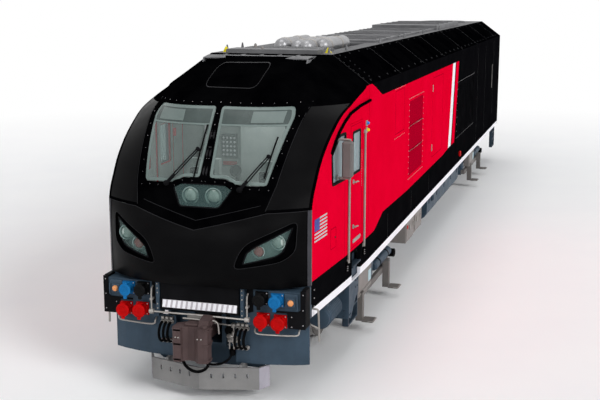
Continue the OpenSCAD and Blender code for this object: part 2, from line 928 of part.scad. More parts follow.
module lamp_housings() {
    rim = 25;
    color([0.18, 0.28, 0.29]) {
        difference() {
            intersection() {
                cab_solid(wall_t, cab_seam);
                translate([cab_seam, 0, 0]) rotate([90, 0, 90]) linear_extrude(cab_far - cab_seam)
                    offset(delta = rim) {
                        polygon(CENTRE_LAMP);
                        polygon(CORNER_LAMP);
                        polygon(mirrored(CORNER_LAMP));
                    }
            }
            cab_solid(wall_t + lamp_depth, cab_seam - over);
        }
        intersection() {
            difference() {
                cab_solid(lens_gap, cab_seam);
                cab_solid(wall_t, cab_seam - over);
            }
            left_and_right() for (i = [0 : len(LAMP_D) - 1])
                let (p = front_place(LAMP_SHARES[i])) along([cab_seam, cab_far], p[0], p[1], LAMP_D[i]);
        }
    }
}

module lamp_covers() {
    color(GLASS) intersection() {
        cab_shell(cover_t);
        lamp_openings(cut_x);
    }
}

// Wipers: foot, arm end, blade top, blade foot
WIPER_SHARES = [
    [[0.345, 0.592], [0.55, 0.741], [0.588, 0.823], [0.543, 0.647]],
    [[-0.345, 0.603], [-0.105, 0.763], [-0.066, 0.871], [-0.097, 0.643]]
];

module wipers() {
    arm_w = 22;
    blade_w = 16;
    knee_d = 60;
    foot_d = 70;
    lift = 46;
    sink = 80;
    color(BLACK) for (w = WIPER_SHARES) {
        foot = on_front(front_place(w[0]), lift);
        bend = on_front(front_place(w[1]), lift);
        blade = [for (i = [2, 3]) on_front(front_place(w[i]), lift)];
        square_bar(foot, bend, arm_w);
        square_bar(bend, (blade[0] + blade[1]) / 2, arm_w);
        square_bar(blade[0], blade[1], blade_w);
        along([bend[0] - arm_w, bend[0] + arm_w], bend[1], bend[2], knee_d);
        difference() {
            along([foot[0] - sink, foot[0] + arm_w], foot[1], foot[2], foot_d);
            cab_solid(0, cab_seam);
        }
    }
}

// Mirror housing on plates that stand off the cab side
module mirrors() {
    set = 1630;
    length = 130;
    gap = 35;
    width = 130;
    low_share = 0.576;
    low = wall_level(low_share);
    height = 650;
    plate = 25;
    x = [cab_seam + set, cab_seam + set + length];
    out = side_y(x[0]) + gap + width;
    color(PALE) left_and_right() {
        box(x, [out - width, out], [low, low + height]);
        for (z = [low - plate, low + height])
            translate([0, 0, z]) linear_extrude(plate)
                polygon([[x[0], side_y(x[0])], [x[1], side_y(x[1])], [x[1], out], [x[0], out]]);
    }
}

// Upright rails on the cab sides: distance ahead, lower end above the sill, upper end below the slopes
rail_ahead = 95;
rail_behind = 110;
RAIL_RISES = [350, 390];
RAIL_DROPS = [1120, 630];
RAILS = [
    [door_front + rail_ahead, sill_z + RAIL_RISES[0], cantrail_z - RAIL_DROPS[0]],
    [door_hinge - rail_behind, sill_z + RAIL_RISES[1], cantrail_z - RAIL_DROPS[1]]
];
recess_half = 77;
recess_depth = 40;
recess_end = 60;

module handrails() {
    d = 34;
    stand = 15;
    foot = 50;
    color(PALE) left_and_right() for (r = RAILS) {
        y = side_y(r[0]);
        bar([r[0], y + stand, r[1]], [r[0], y + stand, r[2]], d);
        for (z = [r[1], r[2] - foot])
            box([r[0] - d, r[0] + d], [y - recess_depth, y + stand], [z, z + foot]);
    }
}

module apron() {
    set = 260;
    plate = 40;
    panel_x = [front_end + set, front_end + set + plate];
    panel_half = 540;
    panel_h = 350;
    panel_drop = 10;
    panel_z = [end_top - panel_drop - panel_h, end_top - panel_drop];
    arm_w = 40;
    arm_in = 60;
    arm_y = [panel_half - arm_in - arm_w, panel_half - arm_in];
    arm_h = 150;
    arm_drop = 60;
    arm_z = [panel_z[1] - arm_drop - arm_h, panel_z[1] - arm_drop];
    post_y = [panel_out, half_front - wall_t];
    post_h = 500;
    post_z = [end_top - post_h, end_top];
    color(BLACK) {
        box(panel_x, [-panel_half, panel_half], panel_z);
        left_and_right() {
            box([front_end, panel_x[0]], arm_y, arm_z);
            box([front_end, panel_front - over], post_y, post_z);
        }
    }
}

// Jumper sockets on the left panel, as shares of its width and height
RED_SHARES = [[0.306, 0.208], [0.625, 0.19]];
BLUE_SHARES = [[0.569, 0.771]];
BLACK_SHARES = [[0.278, 0.79]];

module sockets(places) {
    flange = 170;
    flange_t = 25;
    barrel_d = 140;
    barrel_l = 110;
    left_and_right() for (s = places) {
        p = [panel_in + (panel_out - panel_in) * s[0], panel_low + (panel_top - panel_low) * s[1]];
        box([panel_front, panel_front + flange_t], [p[0] - flange / 2, p[0] + flange / 2],
            [p[1] - flange / 2, p[1] + flange / 2]);
        along([panel_front + flange_t, panel_front + flange_t + barrel_l], p[0], p[1], barrel_d);
    }
}

module sockets_red() {
    color([0.7, 0, 0]) sockets(RED_SHARES);
}

module sockets_blue() {
    color([0.06, 0.4, 0.63]) sockets(BLUE_SHARES);
}

module sockets_black() {
    color(BLACK) sockets(BLACK_SHARES);
}

// Air hoses on the left: distance of the first from the middle, pitch, count
hose_y = 470;
hose_pitch = 60;
hose_count = 3;

// Hose that leaves a face forward and bends back into it lower down
module looped_hose(y, d) {
    top_z = 960;
    bend_r = 130;
    lead = 50;
    for (z = [top_z, top_z - 2 * bend_r]) along([pilot_front, pilot_front + lead], y, z, d);
    translate([pilot_front + lead, y, top_z - bend_r]) rotate([90, 0, 0]) rotate([0, 0, -90])
        rotate_extrude(angle = 180) translate([bend_r, 0]) circle(d = d);
}

module hoses() {
    d = 36;
    color(BLACK) left_and_right() for (i = [0 : hose_count - 1])
        looped_hose(hose_y + i * hose_pitch, d);
}

// Steps

// Stairs: rear end, front end
stair_l = 580;
stair_behind = 40;
stair_end = 80;
STAIRS = [[door_hinge - stair_behind, door_hinge - stair_behind + stair_l],
    [stair_end - rear_reach, stair_end - rear_reach + stair_l]];

module steps() {
    stringer = 30;
    tread = 25;
    set_in = 65;
    width = 90;
    depth = [half_w - set_in - width, half_w - set_in];
    treads = 3;
    color(SLATE) left_and_right() for (s = STAIRS) {
        for (x = [s[0], s[1] - stringer]) box([x, x + stringer], depth, [step_z, sill_z]);
        for (i = [0 : treads - 1])
            translate([0, 0, step_z + i * (sill_z - step_z) / treads])
                box([s[0], s[1]], depth, [0, tread]);
    }
}

// Underbody

module fuel_tank() {
    half = 1420;
    round_r = 180;
    arc_steps = 8;
    corner = [for (i = [0 : arc_steps])
        [half - round_r + round_r * cos(-90 + 90 * i / arc_steps),
            tank_z + round_r + round_r * sin(-90 + 90 * i / arc_steps)]];
    outline = concat(corner, [[half, sill_z]], [[-half, sill_z]],
        [for (i = [arc_steps : -1 : 0]) [-corner[i][0], corner[i][1]]]);
    color(SLATE) front_plate(outline, [tank_front - tank_l, tank_front]);
}

// Equipment boxes ahead of the tank: gap to the tank, lengths, lower faces
box_set = 790;
box_gap = 40;
BOX_L = [800, 790];
BOX_LOW = [680, 660];

module equipment_boxes() {
    set_in = 85;
    width = 440;
    depth = [half_w - set_in - width, half_w - set_in];
    lid = 12;
    rim = 40;
    color(GREY) left_and_right() for (i = [0 : len(BOX_L) - 1]) {
        x = tank_front + box_set + i * (BOX_L[0] + box_gap);
        box([x, x + BOX_L[i]], depth, [BOX_LOW[i], sill_z]);
        box([x + rim, x + BOX_L[i] - rim], [depth[1], depth[1] + lid], [BOX_LOW[i] + rim, sill_z - rim]);
    }
}

// Trucks, about their own middle

frame_y = [960, 1160];
box_y = [960, 1190];
beam_z = [860, 1040];
bolster_x = 400;
bolster_z = [640, 940];
box_half = 180;
journal_end = 1150;
cap = 30;
spring_d = 170;
spring_x = 260;
wing_z = [540, 620];

module truck_frame() {
    end_x = 2080;
    end_w = 70;
    air_spring_d = 320;
    air_spring_x = 380;
    air_spring_top = 1212;
    dip_x = [550, 800];
    horn_x = 1750;
    color(SLATE) difference() {
        union() {
            left_and_right() {
                side_plate([[-end_x, beam_z[0]], [-dip_x[1], beam_z[0]], [-dip_x[0], bolster_z[0]],
                    [dip_x[0], bolster_z[0]], [dip_x[1], beam_z[0]], [end_x, beam_z[0]],
                    [end_x, beam_z[0] + end_w], [horn_x, beam_z[1]], [-horn_x, beam_z[1]],
                    [-end_x, beam_z[0] + end_w]], frame_y);
                for (s = sides) {
                    translate([s * air_spring_x, (frame_y[0] + frame_y[1]) / 2, beam_z[1]])
                        cylinder(d = air_spring_d, h = air_spring_top - beam_z[1]);
                    translate([s * wheelbase / 2, 0, 0]) {
                        box([-box_half, box_half], box_y, [axle_z - box_half, axle_z + box_half]);
                        box([-spring_x - spring_d / 2, spring_x + spring_d / 2], frame_y, wing_z);
                        for (t = sides)
                            translate([t * spring_x, (frame_y[0] + frame_y[1]) / 2, wing_z[1]])
                                cylinder(d = spring_d, h = beam_z[0] - wing_z[1]);
                    }
                }
            }
            box([-bolster_x, bolster_x], [-frame_y[0], frame_y[0]], bolster_z);
            for (s = sides)
                translate([s * (end_x - end_w / 2) - end_w / 2, 0, 0])
                    box([0, end_w], [-frame_y[0], frame_y[0]], [beam_z[0], beam_z[0] + end_w]);
        }
        translate([0, 0, bolster_z[0] - over])
            cylinder(d = pivot_d + 2 * fit_gap, h = bolster_z[1] - bolster_z[0] + 2 * over);
        for (s = sides, t = sides)
            scale_side(t)
                across(s * wheelbase / 2, [box_y[0] - over, box_y[1] - cap], axle_z, journal_d + 2 * fit_gap);
    }
}

module motors() {
    motor_d = 620;
    motor_half = 470;
    motor_x = 800;
    motor_z = 640;
    nose_rise = 20;
    nose_h = 240;
    nose_z = [motor_z + nose_rise, motor_z + nose_rise + nose_h];
    nose_y = 240;
    color([0.16, 0.17, 0.19]) for (s = sides) {
        across(s * motor_x, [-motor_half, motor_half], motor_z, motor_d);
        scale_end(s) box([bolster_x, motor_x], [-nose_y, nose_y], nose_z);
    }
}

module scale_end(s) {
    if (s > 0) children();
    else mirror([1, 0, 0]) children();
}

module shoe_gear() {
    beam_x = wheelbase / 2 + box_half;
    beam_y = [box_y[1], 1290];
    rail_z = [430, 540];
    shoe_x = 995;
    post = 60;
    post_y = [1290, 1400];
    post_z = [180, 640];
    paddle_y = 1571;
    paddle_t = 30;
    paddle_l = 110;
    color(PALE) left_and_right() {
        for (s = sides)
            scale_end(s)
                box([wheelbase / 2 - box_half, beam_x], beam_y, rail_z);
        box([-beam_x, beam_x], [beam_y[1] - post, beam_y[1]], rail_z);
        for (s = sides) translate([s * shoe_x, 0, 0]) {
            box([-post, post], post_y, post_z);
            box([-paddle_l, paddle_l], [post_y[1], paddle_y], [post_z[0], post_z[0] + paddle_t]);
        }
    }
}

module at_truck(end) {
    translate([end * truck_x, 0, 0]) children();
}

module truck_front() {
    at_truck(1) truck_frame();
}

module truck_rear() {
    at_truck(-1) truck_frame();
}

module motors_front() {
    at_truck(1) motors();
}

module motors_rear() {
    at_truck(-1) motors();
}

module shoe_gear_front() {
    at_truck(1) shoe_gear();
}

module shoe_gear_rear() {
    at_truck(-1) shoe_gear();
}

// Wheelsets

// Axles, front to rear: distance ahead of the middle
AXLES = [truck_x + wheelbase / 2, truck_x - wheelbase / 2,
    -truck_x + wheelbase / 2, -truck_x - wheelbase / 2];

module wheelset(x) {
    hub_r = 160;
    hub_out = 20;
    web = [45, 85];
    rim_t = 75;
    flange_w = 32;
    tread_r = wheel_d / 2;
    bore_r = axle_d / 2 - frame_gap;
    profile = [
        [bore_r, -hub_out], [hub_r, -hub_out], [hub_r, web[0]], [tread_r - rim_t, web[0]],
        [tread_r - rim_t, 0], [tread_r + flange_h, 0], [tread_r + flange_h, flange_w / 2],
        [tread_r, flange_w], [tread_r, rim_w], [tread_r - rim_t, rim_w], [tread_r - rim_t, web[1]],
        [hub_r, web[1]], [hub_r, rim_w + hub_out], [bore_r, rim_w + hub_out]
    ];
    wheel_in = back_to_back / 2;
    color([0.35, 0.33, 0.32]) translate([x, 0, axle_z]) {
        for (s = sides) scale_side(s)
            translate([0, wheel_in, 0]) rotate([-90, 0, 0]) rotate_extrude() polygon(profile);
        across(0, [-wheel_in - rim_w, wheel_in + rim_w], 0, axle_d);
        across(0, [-journal_end, journal_end], 0, journal_d);
    }
}

module wheelset_1() {
    wheelset(AXLES[0]);
}

module wheelset_2() {
    wheelset(AXLES[1]);
}

module wheelset_3() {
    wheelset(AXLES[2]);
}

module wheelset_4() {
    wheelset(AXLES[3]);
}

// Couplers, about their pivot

head_drop = 270;
head_rise = 180;
coupler_low = coupler_z - head_drop;

// Head outline in plan, from the shank round the knuckle: share of the head's length, share of its half width
HEAD_SHARES = [[0, -0.38], [0.4, -1], [0.86, -1], [1, -0.88], [1, -0.5], [0.86, -0.46], [0.75, -0.23],
    [0.77, 0.1], [0.86, 0.22], [0.93, 0.3], [1, 0.42], [0.98, 0.72], [0.9, 0.86], [0.55, 0.88], [0, 0.38]];

module coupler() {
    shank = [160, 200];
    eye_d = 200;
    head_l = 350;
    head_half = 260;
    root = coupler_l - head_l;
    lever_l = 160;
    lever_y = [60, 210];
    lever_h = 70;
    rib = 30;
    head = [for (s = HEAD_SHARES) [root + head_l * s[0], head_half * s[1]]];
    color([0.28, 0.22, 0.21]) difference() {
        union() {
            translate([0, 0, coupler_z]) {
                cylinder(d = eye_d, h = shank[1], center = true);
                box([0, root + head_l / 2], [-shank[0] / 2, shank[0] / 2], [-shank[1] / 2, shank[1] / 2]);
                translate([0, 0, -head_drop]) linear_extrude(head_drop + head_rise) polygon(head);
                box([root, root + lever_l], lever_y, [head_rise, head_rise + lever_h]);
                for (z = [-shank[1] / 2, shank[1] / 2 - rib])
                    box([root - rib, root + rib], [-shank[0], shank[0]], [z, z + rib]);
            }
        }
        translate([0, 0, coupler_z]) cylinder(d = pin_d + 2 * fit_gap, h = shank[1] + over, center = true);
    }
}

module coupler_front() {
    at_front_end() translate([-draft_set, 0, 0]) coupler();
}

module coupler_rear() {
    at_rear_end() translate([-draft_set, 0, 0]) coupler();
}

// Brake hose looped under the front coupler's head
module coupler_hose() {
    d = 40;
    loop_r = 190;
    loop_x = 780;
    loop_y = -10;
    color(BLACK) at_front_end() translate([loop_x - draft_set, loop_y, coupler_low])
        rotate([90, 0, 90]) rotate([0, 0, 180])
        rotate_extrude(angle = 180) translate([loop_r, 0]) circle(d = d);
}

underframe();
pilot();
plow();
nose();
cab_front();
cab_side_left();
cab_side_right();
cab_glass();
cab_floor();
cab_bulkhead();
cab_interior();
body_side_left();
body_side_right();
side_grilles();
roof_slopes();
roof_deck();
roof_hatches();
roof_fittings();
silencers();
rear_wall();
engine_block();
lamp_housings();
lamp_covers();
wipers();
mirrors();
handrails();
apron();
sockets_red();
sockets_blue();
sockets_black();
hoses();
steps();
fuel_tank();
equipment_boxes();
cab_door_left();
cab_door_right();
door_glass_left();
door_glass_right();
rear_door();
fan_1();
fan_2();
truck_front();
truck_rear();
motors_front();
motors_rear();
shoe_gear_front();
shoe_gear_rear();
wheelset_1();
wheelset_2();
wheelset_3();
wheelset_4();
coupler_front();
coupler_hose();
coupler_rear();
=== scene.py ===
"""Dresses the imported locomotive: smooth cab shells, livery, lamps, glass, trucks and small fittings.

Lengths are metres in the part's frame: X forward to the nose, Y to the left, Z up from the wheel flanges.
"""

import math

import bmesh
import bpy
import numpy as np
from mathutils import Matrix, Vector
from mathutils.geometry import delaunay_2d_cdt


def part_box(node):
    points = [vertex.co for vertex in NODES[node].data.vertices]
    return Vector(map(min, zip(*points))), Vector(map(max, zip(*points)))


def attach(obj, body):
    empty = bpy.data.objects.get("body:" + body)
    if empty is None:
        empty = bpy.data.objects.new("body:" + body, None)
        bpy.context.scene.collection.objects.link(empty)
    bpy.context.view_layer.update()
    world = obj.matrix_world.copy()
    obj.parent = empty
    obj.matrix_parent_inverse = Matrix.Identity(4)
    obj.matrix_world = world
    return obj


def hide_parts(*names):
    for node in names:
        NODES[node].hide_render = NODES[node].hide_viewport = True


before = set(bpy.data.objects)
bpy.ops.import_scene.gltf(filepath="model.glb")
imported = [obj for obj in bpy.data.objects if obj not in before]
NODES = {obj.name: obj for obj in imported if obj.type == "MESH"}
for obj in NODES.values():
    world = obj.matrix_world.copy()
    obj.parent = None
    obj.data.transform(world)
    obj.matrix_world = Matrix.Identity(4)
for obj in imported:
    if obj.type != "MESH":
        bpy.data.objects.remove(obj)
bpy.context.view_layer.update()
SIDES = (1, -1)
HANDS = (("left", 1), ("right", -1))
AHEAD, BACK, UP = (1, 0, 0), (-1, 0, 0), (0, 0, 1)

# Main planes of the body, read from the frame

BODY_LOW, BODY_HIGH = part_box("body_side_left")
SEAM_X = BODY_HIGH[0]
HALF_W = BODY_HIGH[1]
SILL_Z = BODY_LOW[2]
CANTRAIL_Z = BODY_HIGH[2]
DECK_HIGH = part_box("roof_deck")[1]
DECK_Z = DECK_HIGH[2]
HALF_DECK = DECK_HIGH[1]
REAR_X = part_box("rear_wall")[0][0]
NOSE_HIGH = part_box("nose")[1]
# Cab corner of the smooth skin, which bends in a little more than the solid's sides do ahead of the doors
CORNER_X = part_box("cab_side_left")[1][0] - 0.1
HALF_FRONT = NOSE_HIGH[1] - 0.06
TAPER_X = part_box("cab_door_left")[1][0] + 0.04
TAPER_Y = 1.5

# Cab front sections, upward: share of the wall's height (of the roof's rise above the cantrail), reach at the
# centre as a share of the cab's length, reach at the side panel's front edge as a share of the panel's length
WALL_SHARES = [
    (0.155, 0.966, 1), (0.213, 0.989, 1), (0.289, 1, 1), (0.372, 0.995, 1), (0.444, 0.978, 1), (0.502, 0.944, 1),
    (0.56, 0.91, 0.981), (0.625, 0.873, 0.935), (0.69, 0.837, 0.883), (0.776, 0.789, 0.777),
    (0.848, 0.748, 0.647), (0.895, 0.72, 0.535), (0.946, 0.686, 0.312), (1, 0.619, 0.071),
]
ROOF_SHARES = [(0.302, 0.536, 0.049), (0.605, 0.44, 0.033), (0.837, 0.344, 0.023), (1, 0.211, 0.011)]
TIP_X = NOSE_HIGH[0]


def wall_level(share):
    return SILL_Z + (CANTRAIL_Z - SILL_Z) * share


def section(z, s):
    return [z, SEAM_X + (TIP_X - SEAM_X) * s[1], SEAM_X + (CORNER_X - SEAM_X) * s[2]]


SECTIONS = np.array([section(wall_level(s[0]), s) for s in WALL_SHARES]
                    + [section(CANTRAIL_Z + (DECK_Z - CANTRAIL_Z) * s[0], s) for s in ROOF_SHARES])
NOSE_Z = SECTIONS[0][0]
PLAN_POWER = 3


def smooth_table(z, column):
    """Monotone cubic curve through one column of the sections."""
    x = SECTIONS[:, 0]
    y = SECTIONS[:, column]
    h = np.diff(x)
    slope = np.diff(y) / h
    d = np.zeros_like(y)
    same = slope[:-1] * slope[1:] > 0
    weight = slope[:-1] + slope[1:]
    d[1:-1][same] = 2 * slope[:-1][same] * slope[1:][same] / weight[same]
    d[0], d[-1] = slope[0], slope[-1]
    z = np.clip(np.asarray(z, float), x[0], x[-1])
    i = np.clip(np.searchsorted(x, z) - 1, 0, len(h) - 1)
    t = (z - x[i]) / h[i]
    return ((1 + 2 * t) * (1 - t) ** 2 * y[i] + t * (1 - t) ** 2 * h[i] * d[i]
            + t * t * (3 - 2 * t) * y[i + 1] + t * t * (t - 1) * h[i] * d[i + 1])


def side_y(x):
    """Half width at a distance ahead: slightly tapered to the bend ahead of the doors, then more so."""
    return np.interp(x, [SEAM_X, TAPER_X, CORNER_X], [HALF_W, TAPER_Y, HALF_FRONT])


def half_width(z, x):
    """Half width of the outer skin at a height, with the sloping roof above the cantrail."""
    w = side_y(x)
    rise = np.clip((np.asarray(z, float) - CANTRAIL_Z) / (DECK_Z - CANTRAIL_Z), 0, 1)
    return w - (w - HALF_DECK) * rise


# Crease across the nose: places from the middle, height of its lower line, height of its upper line
CREASE_Y = [0.0, 0.9, HALF_FRONT + 0.1]
CREASE_Z = [2.307, 2.526, 2.545]
BAND_Z = [2.409, 2.628, 2.647]
BAND_STEP = 0.03
BAND_END = 0.8
# Where the step of the crease runs out: beyond the band's end, and upward
BAND_FADE = 0.14
STEP_TOP, STEP_FADE = 3.0, 0.35


def crease_z(y):
    return np.interp(np.abs(y), CREASE_Y, CREASE_Z)


def band_z(y):
    return np.interp(np.abs(y), CREASE_Y, BAND_Z)


def front_x(y, z):
    """Reach of the cab front, with the step that the crease makes in it."""
    y = np.asarray(y, float)
    edge = smooth_table(z, 2)
    share = np.minimum(np.abs(y) / half_width(z, edge), 1.0)
    reach = edge + (smooth_table(z, 1) - edge) * (1 - share ** PLAN_POWER)
    rise = np.clip((z - crease_z(y)) / (band_z(y) - crease_z(y)), 0, 1)
    fade = np.clip((BAND_END + BAND_FADE - np.abs(y)) / BAND_FADE, 0, 1)
    low = np.clip((STEP_TOP - z) / STEP_FADE, 0, 1)
    return reach - BAND_STEP * rise * fade * low


# Surfaces that carry trim: each maps two coordinates and a lift to a point


def on_front(u, v, lift=0.0):
    return np.array([float(front_x(u, v)) + lift, u, v])


def on_side(s):
    def place(u, v, lift=0.0):
        return np.array([u, s * (float(side_y(u)) + lift), v])
    return place


def on_deck(u, v, lift=0.0):
    return np.array([u, v, DECK_Z + lift])


def on_slope(s):
    """Sloping roof: distance ahead and share of the way up from the cantrail."""
    run = np.array([0, s * (HALF_DECK - HALF_W), DECK_Z - CANTRAIL_Z])
    normal = np.array([0, s * (DECK_Z - CANTRAIL_Z), HALF_W - HALF_DECK])
    normal /= np.linalg.norm(normal)

    def place(u, v, lift=0.0):
        return np.array([u, s * HALF_W, CANTRAIL_Z]) + v * run + lift * normal
    return place


def on_rear(u, v, lift=0.0):
    return np.array([REAR_X - lift, u, v])


# Heights of trim above its surface: thin lines, and the sunk roots of flat trim and of the painted edge highlight
# lines
LINE_LIFT = 0.0015
TRIM_ROOT = -0.002
EDGE_HIGHLIGHT_ROOT = -0.006

# Mesh building


class Shape:
    """Vertices and faces of one piece, added to by simple forms."""

    def __init__(self):
        self.verts = []
        self.faces = []

    def add(self, verts, faces):
        base = len(self.verts)
        self.verts += [tuple(map(float, v)) for v in verts]
        self.faces += [tuple(base + i for i in f) for f in faces]
        return self

    def join(self, other):
        return self.add(other.verts, other.faces)

    def add_rings(self, verts, rows, segments):
        """Closed form through rings of vertices, with a face at each end."""
        faces = [(r * segments + k, r * segments + (k + 1) % segments, (r + 1) * segments + (k + 1) % segments,
                  (r + 1) * segments + k)
                 for r in range(rows - 1) for k in range(segments)]
        faces.append(tuple(range(segments))[::-1])
        faces.append(tuple(range((rows - 1) * segments, rows * segments)))
        return self.add(verts, faces)

    def box(self, low, high):
        (a, b, c), (d, e, f) = low, high
        verts = [(a, b, c), (d, b, c), (d, e, c), (a, e, c), (a, b, f), (d, b, f), (d, e, f), (a, e, f)]
        return self.add(verts, [(3, 2, 1, 0), (4, 5, 6, 7), (0, 1, 5, 4), (1, 2, 6, 5), (2, 3, 7, 6), (3, 0, 4, 7)])

    def chamfer_box(self, low, high, c):
        """Box whose twelve edges are cut off by c."""
        low, high = np.array(low, float), np.array(high, float)
        verts = []
        for corner in range(8):
            bits = [(corner >> k) & 1 for k in range(3)]
            point = np.array([high[k] if bits[k] else low[k] for k in range(3)])
            inward = np.array([-c if bits[k] else c for k in range(3)])
            for k in range(3):
                p = point + inward
                p[k] = point[k]
                verts.append(p)
        bm = bmesh.new()
        for v in verts:
            bm.verts.new(v)
        bmesh.ops.convex_hull(bm, input=bm.verts)
        bm.verts.index_update()
        self.add([v.co for v in bm.verts], [[v.index for v in f.verts] for f in bm.faces])
        bm.free()
        return self

    def side_box(self, s, along, out, up, c):
        """Chamfered box on one side of the middle, from its spans in x, away from the middle and in z."""
        near, far = sorted((s * out[0], s * out[1]))
        return self.chamfer_box((along[0], near, up[0]), (along[1], far, up[1]), c)

    def extrude(self, outline, axis, a, b):
        """Prism of an outline along x (outline y, z), y (outline x, z) or z (outline x, y)."""
        order = {"x": lambda p, d: (d, p[0], p[1]), "y": lambda p, d: (p[0], d, p[1]), "z": lambda p,
                 d: (p[0], p[1], d)}[axis]
        n = len(outline)
        verts = [order(p, a) for p in outline] + [order(p, b) for p in outline]
        faces = [tuple(range(n))[::-1], tuple(range(n, 2 * n))]
        faces += [(i, (i + 1) % n, n + (i + 1) % n, n + i) for i in range(n)]
        return self.add(verts, faces)

    def lathe(self, profile, origin, axis, segments=24):
        """Closed turned form: profile rows are distance along the axis and radius."""
        axis = Vector(axis).normalized()
        across = axis.orthogonal().normalized()
        other = axis.cross(across)
        origin = Vector(origin)
        verts = []
        for along, radius in profile:
            for k in range(segments):
                turn = 2 * math.pi * k / segments
                spoke = across * math.cos(turn) + other * math.sin(turn)
                verts.append(origin + axis * along + spoke * radius)
        return self.add_rings(verts, len(profile), segments)

    def rod(self, a, b, radius, segments=12):
        a, b = Vector(a), Vector(b)
        return self.lathe([(0, radius), ((b - a).length, radius)], a, b - a, segments)

    def stud(self, base, axis, radius, height, segments=8):
        """Low domed bolt head."""
        profile = [(0, radius), (height * 0.5, radius), (height * 0.85, radius * 0.72), (height, radius * 0.3)]
        return self.lathe(profile, base, axis, segments)

    def tube(self, points, radius, segments=8, smooth=0):
        """Round tube along a path, which can be smoothed by repeated corner cutting."""
        path = [np.array(p, float) for p in points]
        for _ in range(smooth):
            cut = [path[0]]
            for p, q in zip(path, path[1:]):
                cut += [0.75 * p + 0.25 * q, 0.25 * p + 0.75 * q]
            path = cut + [path[-1]]
        up = None
        verts = []
        for i, p in enumerate(path):
            ahead = path[min(i + 1, len(path) - 1)] - path[max(i - 1, 0)]
            ahead = Vector(ahead).normalized()
            up = ahead.orthogonal() if up is None else up - ahead * up.dot(ahead)
            up.normalize()
            other = ahead.cross(up)
            for k in range(segments):
                turn = 2 * math.pi * k / segments
                verts.append(Vector(p) + (up * math.cos(turn) + other * math.sin(turn)) * radius)
        return self.add_rings(verts, len(path), segments)

    def ribbon(self, surface, path, width, lift, closed=False, sink=0.0, step=0.05):
        """Flat strip along a path on a surface, with upright edges down to a sunk base."""
        pts = [np.array(p, float) for p in path]
        if closed:
            pts.append(pts[0])
        dense = []
        for p, q in zip(pts, pts[1:]):
            count = max(1, int(np.linalg.norm(q - p) / step))
            dense += [p + (q - p) * i / count for i in range(count)]
        if not closed:
            dense.append(pts[-1])
        n = len(dense)
        verts = []
        for i, p in enumerate(dense):
            before = dense[i - 1] if closed or i else p
            after = dense[(i + 1) % n] if closed or i < n - 1 else p
            d1, d2 = p - before, after - p
            d1 = d1 / (np.linalg.norm(d1) or 1)
            d2 = d2 / (np.linalg.norm(d2) or 1)
            d = d1 + d2
            d = d / (np.linalg.norm(d) or 1)
            normal = np.array([-d[1], d[0]])
            half = width / 2 / max(0.5, abs(float(np.dot(d, d2 if np.any(d2) else d1))))
            for side, level in ((1, sink), (1, lift), (-1, lift), (-1, sink)):
                q = p + normal * half * side
                verts.append(surface(q[0], q[1], level))
        spans = n if closed else n - 1
        faces = [(4 * i + k, 4 * ((i + 1) % n) + k, 4 * ((i + 1) % n) + (k + 1) % 4, 4 * i + (k + 1) % 4)
                 for i in range(spans) for k in range(4)]
        if not closed:
            faces += [(3, 2, 1, 0), tuple(4 * (n - 1) + k for k in range(4))]
        return self.add(verts, faces)

    def studs(self, surface, places, radius, height):
        """Bolt heads standing on a surface."""
        for u, v in places:
            base = surface(u, v, -0.2 * height)
            axis = surface(u, v, height) - base
            self.stud(base, axis, radius, height * 1.2)
        return self


def shapes(count):
    """Empty shapes, one for each of several pieces."""
    return [Shape() for _ in range(count)]


def row(a, b, count):
    """Evenly spaced places from a to b."""
    return [tuple(np.array(a) + (np.array(b) - np.array(a)) * i / (count - 1)) for i in range(count)]


def loop_places(corners, pitch):
    """Places at about a pitch along a closed outline."""
    places = []
    for p, q in zip(corners, corners[1:] + corners[:1]):
        p, q = np.array(p, float), np.array(q, float)
        count = max(1, round(float(np.linalg.norm(q - p)) / pitch))
        places += [tuple(p + (q - p) * i / count) for i in range(count)]
    return places


def rounded(corners, radius, steps=4):
    """Outline with its corners rounded."""
    out = []
    n = len(corners)
    for i in range(n):
        p = np.array(corners[i], float)
        a = np.array(corners[i - 1], float) - p
        b = np.array(corners[(i + 1) % n], float) - p
        ra = min(radius, 0.45 * np.linalg.norm(a))
        rb = min(radius, 0.45 * np.linalg.norm(b))
        start, end = p + a / np.linalg.norm(a) * ra, p + b / np.linalg.norm(b) * rb
        for k in range(steps + 1):
            t = k / steps
            out.append(tuple((1 - t) ** 2 * start + 2 * t * (1 - t) * p + t * t * end))
    return out


def rect(low, high):
    return [(low[0], low[1]), (high[0], low[1]), (high[0], high[1]), (low[0], high[1])]


def finish_mesh(mesh, sharp_deg):
    """Consistent normals, smooth faces, and sharp edges above an angle."""
    bm = bmesh.new()
    bm.from_mesh(mesh)
    bmesh.ops.recalc_face_normals(bm, faces=bm.faces)
    limit = math.radians(sharp_deg)
    for f in bm.faces:
        f.smooth = True
    for e in bm.edges:
        e.smooth = len(e.link_faces) == 2 and e.calc_face_angle(0) < limit
    bm.to_mesh(mesh)
    bm.free()


def piece(name, shape, finish, body="carbody", replaces=(), slot=None, sharp_deg=35):
    """Makes an object of a shape in a finish and lets it ride on a body; the slot, the finish's unless one is given,
    is looked up but not used.
    """
    mesh = bpy.data.meshes.new(name)
    mesh.from_pydata(shape.verts, [], shape.faces)
    finish_mesh(mesh, sharp_deg)
    mesh.materials.append(M[finish])
    obj = bpy.data.objects.new(name, mesh)
    bpy.context.collection.objects.link(obj)
    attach(obj, body)
    if replaces:
        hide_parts(*replaces)
    slot = slot or SLOTS[finish]


# Materials


def rgb(r, g, b):
    """Linear colour of an sRGB colour given from 0 to 255."""
    def linear(v):
        v /= 255
        return v / 12.92 if v <= 0.04045 else ((v + 0.055) / 1.055) ** 2.4
    return (linear(r), linear(g), linear(b), 1.0)


